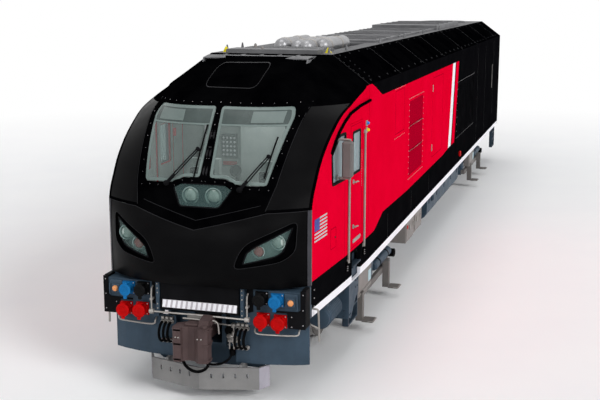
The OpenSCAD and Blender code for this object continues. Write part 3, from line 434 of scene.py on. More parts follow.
class Paint:
    """A material whose colour, roughness and surface vary with place."""

    def __init__(self, name, metal=0.0, specular=0.5):
        self.material = bpy.data.materials.new(name)
        self.material.use_nodes = True
        self.nodes = self.material.node_tree.nodes
        self.links = self.material.node_tree.links
        self.shader = self.nodes["Principled BSDF"]
        self.shader.inputs["Metallic"].default_value = metal
        self.shader.inputs["Specular IOR Level"].default_value = specular
        self.coords = self.nodes.new("ShaderNodeTexCoord").outputs["Object"]

    def link(self, a, b):
        self.links.new(a, b)

    def noise(self, scale):
        noise = self.nodes.new("ShaderNodeTexNoise")
        noise.inputs["Scale"].default_value = scale
        noise.inputs["Detail"].default_value = 5.0
        noise.inputs["Roughness"].default_value = 0.6
        self.link(self.coords, noise.inputs["Vector"])
        return noise.outputs["Fac"]

    def ramp(self, value, stops):
        ramp = self.nodes.new("ShaderNodeValToRGB")
        while len(ramp.color_ramp.elements) < len(stops):
            ramp.color_ramp.elements.new(0.5)
        for element, (place, colour) in zip(ramp.color_ramp.elements, stops):
            element.position = place
            element.color = colour
        self.link(value, ramp.inputs["Fac"])
        return ramp.outputs["Color"]

    def math(self, operation, a, b):
        node = self.nodes.new("ShaderNodeMath")
        node.operation = operation
        for socket, value in zip(node.inputs, (a, b)):
            if isinstance(value, (int, float)):
                socket.default_value = value
            else:
                self.link(value, socket)
        return node.outputs[0]

    def span(self, value, a, b, to_a, to_b):
        node = self.nodes.new("ShaderNodeMapRange")
        for name, amount in (("From Min", a), ("From Max", b), ("To Min", to_a), ("To Max", to_b)):
            node.inputs[name].default_value = amount
        self.link(value, node.inputs["Value"])
        return node.outputs["Result"]

    def curve(self, value, points):
        node = self.nodes.new("ShaderNodeFloatCurve")
        line = node.mapping.curves[0]
        while len(line.points) < len(points):
            line.points.new(0.5, 0.5)
        for point, place in zip(line.points, points):
            point.location = place
            point.handle_type = "VECTOR"
        node.mapping.update()
        self.link(value, node.inputs["Value"])
        return node.outputs["Value"]

    def mix(self, share, a, b):
        node = self.nodes.new("ShaderNodeMix")
        node.data_type = "RGBA"
        self.link(share, node.inputs["Factor"])
        for name, value in (("A", a), ("B", b)):
            socket = [s for s in node.inputs if s.name == name and s.type == "RGBA"][0]
            if isinstance(value, tuple):
                socket.default_value = value
            else:
                self.link(value, socket)
        return [s for s in node.outputs if s.type == "RGBA"][0]

    def tint(self, colour):
        self.link(colour, self.shader.inputs["Base Color"])

    def gloss(self, low, high, scale=6.0):
        self.link(self.span(self.noise(scale), 0.3, 0.7, low, high), self.shader.inputs["Roughness"])

    def relief(self, strength, scale, depth=0.002):
        bump = self.nodes.new("ShaderNodeBump")
        bump.inputs["Strength"].default_value = strength
        bump.inputs["Distance"].default_value = depth
        self.link(self.noise(scale), bump.inputs["Height"])
        self.link(bump.outputs["Normal"], self.shader.inputs["Normal"])


def coated(name, dark, light, rough=(0.35, 0.5), scale=2.5, specular=0.18, metal=0.0, relief=0.12, grain=180.0):
    """Paint, metal or rubber that drifts between two sRGB shades."""
    paint = Paint(name, metal, specular)
    paint.tint(paint.ramp(paint.noise(scale), [(0.3, rgb(*dark)), (0.7, rgb(*light))]))
    paint.gloss(*rough)
    paint.relief(relief, grain)
    return paint.material


# Livery: reach of its curves ahead and up, height of the sill stripe, level and lean of the slanted bands
LIVERY_X, LIVERY_Z = 11.0, 5.0
STRIPE_TOP = 0.108
SLANT_Z, SLANT = 2.7, 0.25


def livery(name):
    """Red front with stepped edges, slanted bands behind it, black rear, and a white sill stripe."""
    paint = Paint(name, 0.0, 0.0)
    split = paint.nodes.new("ShaderNodeSeparateXYZ")
    paint.link(paint.coords, split.inputs[0])
    x, z = split.outputs["X"], split.outputs["Z"]
    red = paint.ramp(paint.noise(1.5), [(0.3, rgb(224, 0, 40)), (0.7, rgb(232, 1, 46))])
    black = paint.ramp(paint.noise(2.0), [(0.3, rgb(8, 8, 10)), (0.7, rgb(14, 14, 16))])
    white = paint.ramp(paint.noise(3.0), [(0.3, rgb(240, 239, 244)), (0.7, rgb(250, 249, 253))])
    along = paint.span(x, -LIVERY_X, LIVERY_X, 0.0, 1.0)
    height = paint.span(z, 0.0, LIVERY_Z, 0.0, 1.0)

    def line(points):
        return paint.curve(along, [((px + LIVERY_X) / (2 * LIVERY_X), pz / LIVERY_Z) for px, pz in points])

    low = line([(-11, 1.83), (-0.35, 1.824), (0.51, 1.776), (4.65, 1.745), (6.71, 1.775), (7.33, 1.6), (11, 1.6)])
    high = line([(-11, 3.665), (6.85, 3.668), (7.42, 3.853), (8.0, 4.0), (11, 4.4)])
    inside = paint.math("MULTIPLY", paint.math("GREATER_THAN", height, low), paint.math("LESS_THAN", height, high))
    slant = paint.math("ADD", x, paint.math("MULTIPLY", paint.math("SUBTRACT", z, SLANT_Z), SLANT))

    def band(a, b):
        return paint.math("MULTIPLY", paint.math("MULTIPLY", paint.math("GREATER_THAN", slant, a),
                                                 paint.math("LESS_THAN", slant, b)), inside)

    colour = paint.mix(band(-0.42, 20.0), black, red)
    colour = paint.mix(band(-0.8, -0.42), colour, white)
    colour = paint.mix(band(-1.35, -0.92), colour, red)
    stripe = paint.math("MULTIPLY", paint.math("GREATER_THAN", z, SILL_Z - 0.01),
                        paint.math("LESS_THAN", z, SILL_Z + STRIPE_TOP))
    paint.tint(paint.mix(stripe, colour, white))
    paint.gloss(0.34, 0.44)
    paint.relief(0.05, 12.0)
    return paint.material


GLASS_TINT = (0.86, 0.93, 0.91, 1)


def clear(name, tone, share, rough=0.06):
    """Tinted pane: partly see-through, with a faint cloudy tone."""
    paint = Paint(name, 0.0, 0.3)
    paint.tint(paint.ramp(paint.noise(1.8), [(0.3, tuple(0.88 * c for c in tone[:3]) + (1.0,)), (0.7, tone)]))
    paint.gloss(rough, rough + 0.05)
    through = paint.nodes.new("ShaderNodeBsdfTransparent")
    through.inputs["Color"].default_value = GLASS_TINT
    blend = paint.nodes.new("ShaderNodeMixShader")
    blend.inputs["Fac"].default_value = share
    paint.link(through.outputs[0], blend.inputs[1])
    paint.link(paint.shader.outputs[0], blend.inputs[2])
    paint.link(blend.outputs[0], paint.nodes["Material Output"].inputs["Surface"])
    return paint.material


# Distance between the bands of a wave texture at scale 1
WAVE_LENGTH = 2 * math.pi / 20


def mesh_screen(name, dark, light, pitch):
    """Woven screen: fine bright wires in both directions over dark gaps."""
    paint = Paint(name, 0.0, 0.0)
    lines = []
    for direction in ("X", "Z"):
        wave = paint.nodes.new("ShaderNodeTexWave")
        wave.bands_direction = direction
        wave.inputs["Scale"].default_value = WAVE_LENGTH / pitch
        paint.link(paint.coords, wave.inputs["Vector"])
        lines.append(wave.outputs["Fac"])
    paint.tint(paint.ramp(paint.math("MAXIMUM", *lines), [(0.35, dark), (0.8, light)]))
    paint.gloss(0.45, 0.6)
    return paint.material


M = {
    "livery": livery("livery paint"),
    "black": coated("black gloss paint", (1, 1, 2), (6, 6, 7), (0.34, 0.46), specular=0.0, relief=0.02, grain=9.0),
    "nose_black": coated("black nose paint", (1, 1, 2), (6, 6, 7), (0.36, 0.44), specular=0.045, relief=0.02,
                         grain=9.0),
    "satin": coated("black satin paint", (12, 12, 14), (20, 20, 22), (0.5, 0.65), specular=0.03),
    # Slightly lighter than the black paint: a painted highlight on the cab's edge lines, and the dark grey of small
    # trim elsewhere
    "bead": coated("dark trim and painted edge highlight", (28, 28, 30), (38, 38, 40), (0.4, 0.5), specular=0.05),
    "roof_black": coated("black roof paint", (0, 0, 1), (5, 5, 6), (0.4, 0.55), specular=0.0, relief=0.05, grain=20.0),
    "seam": coated("panel seam", (120, 0, 24), (142, 2, 30), (0.5, 0.6), specular=0.0),
    "slate": coated("slate frame paint", (45, 60, 73), (58, 75, 90), (0.42, 0.58), relief=0.2, grain=90.0),
    "slate_dark": coated("dark slate paint", (34, 46, 57), (47, 61, 74), (0.45, 0.6), relief=0.2),
    "grey": coated("grey box paint", (122, 117, 114), (140, 135, 132), (0.45, 0.6), relief=0.15),
    "plow": coated("plow grey paint", (116, 115, 115), (134, 133, 132), (0.45, 0.62), relief=0.25, grain=60.0),
    "flap": coated("pale flap paint", (150, 147, 156), (172, 168, 178), (0.45, 0.6), relief=0.2),
    "deck": coated("roof deck paint", (74, 74, 76), (100, 100, 102), (0.5, 0.65), relief=0.35, grain=240.0),
    "hatch": coated("roof hatch paint", (92, 92, 94), (120, 120, 122), (0.45, 0.6), relief=0.2),
    "grille": mesh_screen("red intake screen", rgb(128, 0, 26), rgb(186, 2, 40), 0.012),
    "louvre": coated("louvre paint", (9, 9, 11), (20, 20, 22), (0.4, 0.55), specular=0.0),
    "steel": coated("bare steel", (142, 138, 134), (168, 164, 160), (0.32, 0.5), metal=0.55, grain=140.0),
    "bright": coated("bright steel", (138, 138, 140), (164, 164, 166), (0.3, 0.42), metal=0.6, relief=0.05),
    "shoe": coated("shoe gear paint", (98, 94, 92), (118, 114, 111), (0.45, 0.6), relief=0.2),
    "mirror": coated("mirror grey paint", (98, 94, 93), (112, 108, 107), (0.45, 0.6), specular=0.1, relief=0.1),
    "rail": coated("grey rail paint", (138, 134, 130), (158, 154, 150), (0.4, 0.5), relief=0.08),
    "cast": coated("brown cast steel", (62, 49, 49), (82, 66, 65), (0.5, 0.7), relief=0.5, grain=70.0),
    "wheel": coated("wheel steel", (92, 88, 86), (122, 118, 114), (0.4, 0.6), metal=0.35, relief=0.25, grain=80.0),
    "tread": coated("polished tread", (168, 166, 164), (196, 194, 192), (0.2, 0.34), metal=0.85, relief=0.05),
    "pane": clear("windscreen glass", rgb(150, 163, 160), 0.3),
    "side_pane": clear("side window glass", rgb(156, 178, 184), 0.62),
    "pane_border": coated("pane border", (98, 112, 109), (118, 131, 128), (0.25, 0.35), specular=0.25),
    "band": coated("number band glass", (56, 66, 64), (76, 87, 85), (0.2, 0.3), specular=0.25),
    "plate": coated("blank number plate", (98, 111, 108), (114, 126, 123), (0.3, 0.4), specular=0.25),
    "lamp_glass": clear("lamp cover glass", rgb(84, 108, 106), 0.34),
    "teal": coated("teal lamp housing", (22, 42, 44), (38, 62, 64), (0.3, 0.45), specular=0.1),
    "lamp_grey": coated("grey lamp housing", (96, 114, 111), (114, 132, 129), (0.3, 0.45), specular=0.3),
    # Lighter grey on the nose corners: a painted highlight
    "corner": coated("painted corner highlight strip", (50, 50, 54), (68, 68, 74), (0.35, 0.45), specular=0.1),
    "bowl": coated("lamp bowl", (120, 140, 137), (146, 164, 160), (0.2, 0.3), metal=0.3),
    "lens": coated("lamp lens", (150, 166, 160), (190, 202, 196), (0.1, 0.2), specular=0.5, scale=9.0),
    "red_lens": coated("red lamp lens", (150, 84, 82), (172, 100, 96), (0.15, 0.25), specular=0.4, scale=9.0),
    "lining": coated("cab lining", (160, 167, 165), (180, 186, 184), (0.6, 0.75), relief=0.2),
    "lining_dark": coated("dark cab fitting", (86, 92, 92), (108, 114, 114), (0.5, 0.65)),
    "rubber": coated("black rubber", (5, 5, 6), (13, 13, 14), (0.55, 0.75), specular=0.03, relief=0.3),
    "red_plastic": coated("red socket plastic", (158, 0, 1), (192, 0, 2), (0.45, 0.6), scale=7.0, specular=0.08),
    "blue_plastic": coated("blue socket plastic", (12, 92, 146), (18, 108, 168), (0.45, 0.6), scale=7.0, specular=0.1),
    "black_plastic": coated("black socket plastic", (4, 4, 5), (10, 10, 11), (0.45, 0.6), specular=0.08),
    "label": coated("pale label", (168, 196, 204), (186, 212, 218), (0.4, 0.5), scale=9.0),
    "orange": coated("orange marker lens", (214, 136, 80), (236, 166, 112), (0.2, 0.3), scale=9.0),
    "yellow": coated("yellow cap", (224, 206, 20), (246, 230, 40), (0.4, 0.5), scale=9.0),
    "blue_flag": coated("blue decal", (44, 56, 140), (54, 68, 152), (0.4, 0.5), relief=0.05),
    "blue_lamp": coated("blue lamp cap", (38, 110, 214), (66, 140, 236), (0.2, 0.3), scale=9.0),
    # Grey in place of white: painted shade on the flag's white stripes; also the apron's pale step strip
    "decal": coated("pale strip and flag white greyed by painted shade", (188, 183, 189), (200, 195, 201), (0.4, 0.5), relief=0.05),
    "white": coated("white paint", (240, 239, 243), (250, 249, 253), (0.4, 0.5), relief=0.06),
    "bolt": coated("bolt steel", (150, 148, 150), (186, 184, 186), (0.3, 0.45), metal=0.4),
}

# Slot that each finish belongs to
SLOT_FINISHES = {
    "bare steel": "decal rail steel white",
    "black paint": "bead black corner louvre nose_black roof_black satin",
    "black plastic": "black_plastic",
    "black rubber": "rubber",
    "blue plastic": "blue_flag blue_lamp blue_plastic",
    "bright steel": "bolt bright",
    "cab lining": "lining lining_dark",
    "cast brown": "cast",
    "clear glass": "band lamp_glass lens pane pane_border plate side_pane yellow",
    "deck paint": "hatch",
    "grey paint": "flap grey label mirror",
    "grille paint": "grille",
    "red paint": "livery seam",
    "red plastic": "orange red_lens red_plastic",
    "slate paint": "slate slate_dark",
    "teal housing": "bowl lamp_grey teal",
    "wheel steel": "tread",
}
SLOTS = {finish: slot for slot, finishes in SLOT_FINISHES.items() for finish in finishes.split()}

NODE_FINISH = {
    "underframe": "slate", "pilot": "slate", "plow": "plow", "nose": "black", "cab_front": "black",
    "cab_side_left": "livery", "cab_side_right": "livery", "cab_glass": "side_pane", "cab_floor": "lining_dark",
    "cab_bulkhead": "lining", "cab_interior": "lining", "body_side_left": "livery",
    "body_side_right": "livery", "side_grilles": "grille", "roof_slopes": "roof_black", "roof_deck": "deck",
    "roof_hatches": "hatch", "roof_fittings": "hatch", "silencers": "bright", "rear_wall": "roof_black",
    "engine_block": "slate_dark", "lamp_housings": "teal", "lamp_covers": "lamp_glass", "wipers": "satin",
    "mirrors": "grey", "handrails": "rail", "apron": "satin", "sockets_red": "red_plastic",
    "sockets_blue": "blue_plastic", "sockets_black": "black_plastic", "hoses": "rubber", "steps": "slate_dark",
    "fuel_tank": "slate", "equipment_boxes": "grey", "cab_door_left": "livery", "cab_door_right": "livery",
    "door_glass_left": "side_pane", "door_glass_right": "side_pane", "rear_door": "satin", "fan_1": "satin",
    "fan_2": "satin", "truck_front": "slate", "truck_rear": "slate", "motors_front": "slate_dark",
    "motors_rear": "slate_dark", "shoe_gear_front": "shoe", "shoe_gear_rear": "shoe", "wheelset_1": "wheel",
    "wheelset_2": "wheel", "wheelset_3": "wheel", "wheelset_4": "wheel", "coupler_front": "cast",
    "coupler_hose": "rubber", "coupler_rear": "cast",
}
for name, finish in NODE_FINISH.items():
    mesh = NODES[name].data
    mesh.materials.clear()
    mesh.materials.append(M[finish])


# Skins over curved surfaces


def inside(point, outline):
    """Whether a point lies in a closed outline."""
    x, y = point
    hit = False
    for (x1, y1), (x2, y2) in zip(outline, outline[1:] + outline[:1]):
        if (y1 > y) != (y2 > y) and x < (x2 - x1) * (y - y1) / (y2 - y1) + x1:
            hit = not hit
    return hit


def dense(points, step, closed=True):
    """Points along an outline or line at about a step."""
    out = []
    ends = points[1:] + points[:1] if closed else points[1:]
    for p, q in zip(points, ends):
        p, q = np.array(p, float), np.array(q, float)
        count = max(1, math.ceil(float(np.linalg.norm(q - p)) / step - 1e-6))
        out += [tuple(p + (q - p) * i / count) for i in range(count)]
    return out if closed else out + [tuple(points[-1])]


def skin(surface, outer, holes=(), lines=(), step=0.04, lift=0.0, depth=0.05):
    """Sheet over an outline on a surface, with holes, creases and edges turned inward."""
    points, edges = [], []
    for loop in [outer, *holes]:
        loop = dense(list(loop), step)
        base = len(points)
        points += loop
        edges += [(base + i, base + (i + 1) % len(loop)) for i in range(len(loop))]
    for line in lines:
        line = dense(list(line), step, closed=False)
        base = len(points)
        points += line
        edges += [(base + i, base + i + 1) for i in range(len(line) - 1)]
    fixed = np.array(points)
    low, high = fixed.min(0), fixed.max(0)
    for u in np.arange(low[0] + step / 2, high[0], step):
        for v in np.arange(low[1] + step / 2, high[1], step):
            if np.min(np.hypot(fixed[:, 0] - u, fixed[:, 1] - v)) > 0.55 * step and inside((u, v), list(outer)):
                points.append((u, v))
    flat = delaunay_2d_cdt([Vector(p) for p in points], edges, [], 0, 1e-6)
    keep = []
    for face in flat[2]:
        middle = sum((flat[0][i] for i in face), Vector((0, 0))) / len(face)
        if inside(middle, list(outer)) and not any(inside(middle, list(h)) for h in holes):
            keep.append(face)
    bm = bmesh.new()
    verts = [bm.verts.new(surface(p[0], p[1], lift)) for p in flat[0]]
    for face in keep:
        bm.faces.new([verts[i] for i in face])
    bmesh.ops.delete(bm, geom=[v for v in bm.verts if not v.link_faces], context="VERTS")
    bmesh.ops.recalc_face_normals(bm, faces=bm.faces)
    bm.normal_update()
    centre = [sum(c) / len(c) for c in zip(*outer)]
    out = surface(*centre, 1.0) - surface(*centre)
    facing = sum((f.normal * f.calc_area() for f in bm.faces), Vector()).dot(Vector(out))
    if facing < 0:
        bmesh.ops.reverse_faces(bm, faces=bm.faces)
        bm.normal_update()
    if depth:
        rim = [e for e in bm.edges if len(e.link_faces) == 1]
        normals = {v: v.normal.copy() for e in rim for v in e.verts}
        places = {v.co.copy().freeze(): n for v, n in normals.items()}
        made = bmesh.ops.extrude_edge_only(bm, edges=rim)
        for v in made["geom"]:
            if isinstance(v, bmesh.types.BMVert):
                v.co -= places[v.co.copy().freeze()] * depth
    bm.verts.index_update()
    shape = Shape()
    shape.add([v.co for v in bm.verts], [[v.index for v in f.verts] for f in bm.faces])
    bm.free()
    return shape


def both_ways(points):
    """A line over the left half with its mirror image over the right half."""
    return [(-y, z) for y, z in reversed(points)] + [p for p in points if p[0] > 0]


def shrunk(outline, amount):
    """Outline moved inward by an amount, or outward if it is negative."""
    area = sum(a[0] * b[1] - b[0] * a[1] for a, b in zip(outline, outline[1:] + outline[:1]))
    turn = 1 if area > 0 else -1
    out = []
    n = len(outline)
    for i in range(n):
        p = np.array(outline[i], float)
        a = p - np.array(outline[i - 1], float)
        b = np.array(outline[(i + 1) % n], float) - p
        a, b = a / np.linalg.norm(a), b / np.linalg.norm(b)
        na, nb = np.array([-a[1], a[0]]) * turn, np.array([-b[1], b[0]]) * turn
        m = na + nb
        out.append(tuple(p + m * amount / max(0.4, float(np.dot(m, na)))))
    return out


def flip(outline):
    """The same outline to the other side of the middle."""
    return [(-y, z) for y, z in reversed(outline)]


TURNED = {1: list, -1: flip}

# Outlines on the cab front: the pane, the corner lamp and its recess for the left half, the centre lamp as a whole
SCREEN = [(0.06, 2.9), (0.3, 2.9), (0.4, 2.836), (0.84, 2.825), (0.994, 3.64), (0.952, 3.764), (0.032, 3.775)]
CENTRE_LAMP = both_ways([(0.27, 2.554), (0.414, 2.789), (0.386, 2.836)])
CENTRE_LAMP = CENTRE_LAMP[3:] + CENTRE_LAMP[:3]
CORNER_LAMP = [(0.632, 1.889), (0.682, 2.044), (0.785, 2.124), (1.214, 2.349), (1.112, 2.039), (1.033, 1.983)]
RECESS = [(0.52, 1.83), (0.6, 2.05), (0.7, 2.17), (1.262, 2.428), (1.246, 2.03), (1.1, 1.915)]
screen_r = rounded(SCREEN, 0.05)
centre_r = rounded(CENTRE_LAMP, 0.045)
corner_r = rounded(CORNER_LAMP, 0.03)
recess_r = rounded(RECESS, 0.09)

# Step of the fine skins, gap at the crease, rows of the corner line up to the cantrail
fine = 0.035
GAP = 0.004
WALL_ROWS = 40
crease_half = [(y, float(z)) for y, z in zip(CREASE_Y[:2], CREASE_Z[:2])] + [(HALF_FRONT, CREASE_Z[2] - 0.002)]
crease = both_ways(crease_half)

# Nose below the crease
nose_outline = [(-HALF_FRONT, NOSE_Z), (HALF_FRONT, NOSE_Z)] + [(y, z - GAP) for y, z in reversed(crease)]
piece("cab_nose_skin", skin(on_front, nose_outline, [recess_r, flip(recess_r)], step=fine), "nose_black",
      replaces=("nose",), sharp_deg=28)
rings = Shape()
for loop, lamp in ((recess_r, corner_r), (flip(recess_r), flip(corner_r))):
    rings.join(skin(on_front, shrunk(loop, 0.003), [lamp], step=0.05, lift=-0.024, depth=0.04))
piece("lamp_recess_rings", rings, "black")

# Cab front above the crease, up to the roof deck
levels = np.concatenate([np.linspace(CREASE_Z[2], CANTRAIL_Z, WALL_ROWS), np.linspace(CANTRAIL_Z, DECK_Z, 16)[1:]])
flank = [(float(half_width(z, smooth_table(z, 2))), float(z)) for z in levels]
front_outline = [(y, z + GAP) for y, z in crease[1:-1]] + flank + [(-y, z) for y, z in reversed(flank)]
band_line = both_ways([(0.0, BAND_Z[0] + GAP), (BAND_END, float(band_z(BAND_END)) + GAP)])
piece("cab_front_skin", skin(on_front, front_outline, [screen_r, flip(screen_r), centre_r], [band_line], step=fine),
      "black", replaces=("cab_front",), sharp_deg=14)

# Panes, their borders, number bands and frames
panes, borders, bands, plates, frames, bolts = shapes(6)
for s in SIDES:
    turn = TURNED[s]
    panes.join(skin(on_front, turn(shrunk(screen_r, 0.004)), step=0.05, lift=-0.016, depth=0.012))
    borders.ribbon(on_front, turn(shrunk(screen_r, 0.026)), 0.036, -0.009, closed=True, sink=-0.02)
    borders.ribbon(on_front, [(s * 0.06, 3.542), (s * 0.96, 3.542)], 0.022, -0.006, sink=-0.02)
    band = [(0.062, 3.556), (0.955, 3.556), (0.972, 3.636), (0.938, 3.748), (0.052, 3.757)]
    bands.join(skin(on_front, turn(rounded(band, 0.03)), step=0.05, lift=-0.011, depth=0.006))
    plate = [(0.472, 3.573), (0.872, 3.573), (0.877, 3.709), (0.478, 3.709)]
    plates.join(skin(on_front, turn(plate), step=0.05, lift=-0.006, depth=0.004))
    frames.ribbon(on_front, turn(shrunk(screen_r, -0.032)), 0.06, 0.007, closed=True, sink=-0.01)
    bolts.studs(on_front, loop_places(turn(shrunk(SCREEN, -0.036)), 0.135), 0.0045, 0.011)
frames.ribbon(on_front, shrunk(centre_r, -0.02), 0.034, 0.006, closed=True, sink=-0.01)
latches = Shape()
for z in (3.42, 3.2, 2.985):
    for y in (-0.02, 0.022):
        latches.ribbon(on_front, [(y, z - 0.032), (y, z + 0.032)], 0.02, 0.024, sink=0.0)
        latches.studs(on_front, [(y, z - 0.045), (y, z + 0.045)], 0.009, 0.014)
piece("windscreen_panes", panes, "pane", replaces=("cab_glass",))
piece("windscreen_borders", borders, "pane_border")
piece("number_bands", bands, "band")
piece("number_plates", plates, "plate")
piece("windscreen_frames", frames, "black")
piece("windscreen_bolts", bolts, "bolt")
piece("windscreen_latches", latches, "bead")

# Painted highlights as lighter lines on edges that catch the light: crease, module seams, dome hatch, lamp recesses
edge_highlights = Shape()
edge_highlights.ribbon(on_front, [(y, z - 0.004) for y, z in crease], 0.007, 0.003, sink=EDGE_HIGHLIGHT_ROOT)
edge_highlights.ribbon(on_front, band_line, 0.005, 0.003, sink=EDGE_HIGHLIGHT_ROOT)
edge_highlights.ribbon(on_front, rounded([(-0.373, 3.981), (0.378, 3.976), (0.372, 4.272), (-0.384, 4.262)], 0.09, 6), 0.006,
             0.0035, closed=True, sink=-0.004)
for s in SIDES:
    turn = TURNED[s]
    edge_highlights.ribbon(on_front, turn(recess_r), 0.006, 0.003, closed=True, sink=EDGE_HIGHLIGHT_ROOT)
    edge_highlights.ribbon(on_front, [(s * 0.874, 2.549), (s * 0.96, 2.84), (s * 1.09, 3.66), (s * 1.1, 3.8)], 0.007, 0.002,
                 sink=EDGE_HIGHLIGHT_ROOT)
piece("cab_edge_highlight_lines", edge_highlights, "bead")

# Shoulder panels between the windscreen surround and the corner strips
SHOULDER_Z = 3.74
shoulder = [(0.882, 2.562)] + [(y - 0.028, z) for y, z in flank[:WALL_ROWS] if 2.56 < z < SHOULDER_Z]
shoulder += [(1.112, SHOULDER_Z), (1.1, 3.66), (0.97, 2.84)]
shoulders = Shape()
for outline in (shoulder, flip(shoulder)):
    shoulders.join(skin(on_front, outline, step=fine, lift=0.002, depth=0.004))
piece("cab_shoulder_panels", shoulders, "nose_black", sharp_deg=28)

# Strips along the corners of the cab and of the nose; the nose ones are lighter grey, a painted highlight on the
# rounded corner
edge_strip, nose_corner_highlight = shapes(2)
for s in SIDES:
    edge_strip.ribbon(on_front, [(s * (y - 0.01), z) for y, z in flank[:WALL_ROWS]], 0.026, 0.008, sink=-0.03)
    nose_corner_highlight.ribbon(on_front, [(s * (HALF_FRONT - 0.016), z) for z in np.linspace(NOSE_Z, CREASE_Z[2], 12)], 0.038,
                     0.008, sink=-0.03)
piece("cab_corner_strips", edge_strip, "black")
piece("nose_corner_highlight_strips", nose_corner_highlight, "corner")

# Lamps behind their covers
covers, shades, corner_shades, bowls, lenses, red_lenses, bezels = shapes(7)
for outline, lift in ((centre_r, -0.006), (corner_r, -0.026), (flip(corner_r), -0.026)):
    covers.join(skin(on_front, shrunk(outline, 0.004), step=0.06, lift=lift, depth=0.01))
    shade = shades if lift > -0.02 else corner_shades
    shade.join(skin(on_front, shrunk(outline, -0.012), step=0.08, lift=lift - 0.085, depth=0.02))
    bezels.ribbon(on_front, shrunk(outline, 0.006), 0.016, lift + 0.006, closed=True, sink=lift - 0.02)
CENTRE_BOWL = [(-0.05, 0.055), (-0.045, 0.075), (0.0, 0.093), (0.028, 0.101), (0.04, 0.103), (0.04, 0.092),
               (0.006, 0.082), (-0.02, 0.064)]
LENS = [(-0.02, 0.078), (0.0, 0.083), (0.014, 0.074), (0.024, 0.05), (0.028, 0.015)]
for y, z, size, target in ((0.158, 2.685, 1.12, lenses), (1.04, 2.16, 0.98, lenses), (0.819, 2.055, 0.84, red_lenses)):
    for s in SIDES:
        back = 0.075 if y < 0.5 else 0.085
        base = on_front(s * y, z, -back)
        bowls.lathe([(a * size, r * size) for a, r in CENTRE_BOWL], base, AHEAD, 28)
        target.lathe([(a * size, r * size) for a, r in LENS], base + np.array([0.008, 0, 0]), AHEAD, 28)
piece("lamp_cover_glass", covers, "lamp_glass", replaces=("lamp_covers",))
piece("lamp_shades", shades, "teal", replaces=("lamp_housings",))
piece("corner_lamp_shades", corner_shades, "lamp_grey")
piece("lamp_bezels", bezels, "satin")
piece("lamp_bowls", bowls, "bowl")
piece("lamp_lenses", lenses, "lens")
piece("red_lamp_lenses", red_lenses, "red_lens")

# Wipers: foot, knee, blade top, blade foot
WIPERS = [[(0.503, 2.776), (0.803, 3.181), (0.858, 3.41), (0.793, 2.922)],
          [(-0.503, 2.814), (-0.153, 3.244), (-0.097, 3.542), (-0.141, 2.911)]]
arms, blades = shapes(2)
for foot, knee, top, low in np.array(WIPERS):
    away = np.array([foot[1] - knee[1], knee[0] - foot[0]])
    away = away / np.linalg.norm(away) * 0.017
    middle = (top + low) / 2
    for k in SIDES:
        f, n = foot + away * k, knee + away * k * 0.75
        arms.tube([on_front(*(f + (n - f) * t), 0.05 - 0.012 * t) for t in np.linspace(0, 1, 9)], 0.0085)
    arms.tube([on_front(*(foot + (knee - foot) * t), 0.058 - 0.01 * t)
               for t in np.linspace(0.02, 0.3, 5)], 0.017)
    arms.lathe([(0, 0.038), (0.05, 0.036), (0.062, 0.024), (0.07, 0.008)], on_front(*foot, -0.01), (1, 0, 0.3), 16)
    arms.tube([on_front(*knee, 0.04), on_front(*middle, 0.034)], 0.014)
    arms.lathe([(0, 0.026), (0.03, 0.026), (0.036, 0.014)], on_front(*knee, 0.02), (1, 0, 0.3), 12)
    blades.ribbon(on_front, [top, low], 0.016, 0.022, sink=0.003, step=0.03)
    blades.ribbon(on_front, [middle + (top - middle) * t for t in (-0.55, 0.55)], 0.011, 0.034, sink=0.018, step=0.03)
piece("wiper_arms", arms, "satin", replaces=("wipers",))
piece("wiper_blades", blades, "rubber")

# Underside of the nose
sill = Shape()
lip = [(float(front_x(y, NOSE_Z)) - 0.015, float(y)) for y in np.linspace(-HALF_FRONT + 0.02, HALF_FRONT - 0.02, 41)]
sill.extrude(lip + [(CORNER_X - 0.06, HALF_FRONT - 0.03), (CORNER_X - 0.06, 0.03 - HALF_FRONT)], "z", NOSE_Z - 0.006,
             NOSE_Z + 0.03)
piece("nose_underside", sill, "satin")

# Front fittings: faces of the socket panels, the apron and the pilot
PANEL_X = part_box("sockets_red")[0][0]
SOCKET_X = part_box("sockets_red")[1][0]
APRON_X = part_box("apron")[1][0]
PILOT_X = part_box("pilot")[1][0]
SOCKETS = {"red": [(0.84, 1.14), (1.07, 1.131)], "blue": [(1.03, 1.41)], "black": [(0.82, 1.419)]}
for tone, places in SOCKETS.items():
    lids = Shape()
    for s in SIDES:
        for y, z in places:
            y *= s
            big = 1.12 if tone == "red" else 1.0
            lids.lathe([(-0.012, 0.074 * big), (0.004, 0.082 * big), (0.018, 0.082 * big), (0.026, 0.074 * big),
                        (0.029, 0.05 * big), (0.024, 0.046 * big), (0.024, 0.01)], (SOCKET_X, y, z), AHEAD, 28)
            lids.chamfer_box((SOCKET_X - 0.004, y - 0.024, z - 0.122), (SOCKET_X + 0.02, y + 0.024, z - 0.07), 0.006)
            lids.chamfer_box((SOCKET_X - 0.05, y - 0.032, z + 0.055), (SOCKET_X + 0.014, y + 0.032, z + 0.098), 0.008)
            lids.rod((SOCKET_X - 0.03, y - 0.05, z + 0.09), (SOCKET_X - 0.03, y + 0.05, z + 0.09), 0.01)
            lids.lathe([(0.022, 0.072), (0.034, 0.08), (0.05, 0.08), (0.056, 0.072)], (PANEL_X, y, z), AHEAD, 28)
    piece(f"{tone}_socket_lids", lids, f"{tone}_plastic")
socket_bolts = Shape()
for places in SOCKETS.values():
    for y, z in places:
        for s in SIDES:
            for dy in (-0.068, 0.068):
                for dz in (-0.068, 0.068):
                    socket_bolts.stud((PANEL_X + 0.023, s * y + dy, z + dz), AHEAD, 0.009, 0.012)
MARKER_Y = 1.21
frames_black, marker_boxes, markers = shapes(3)
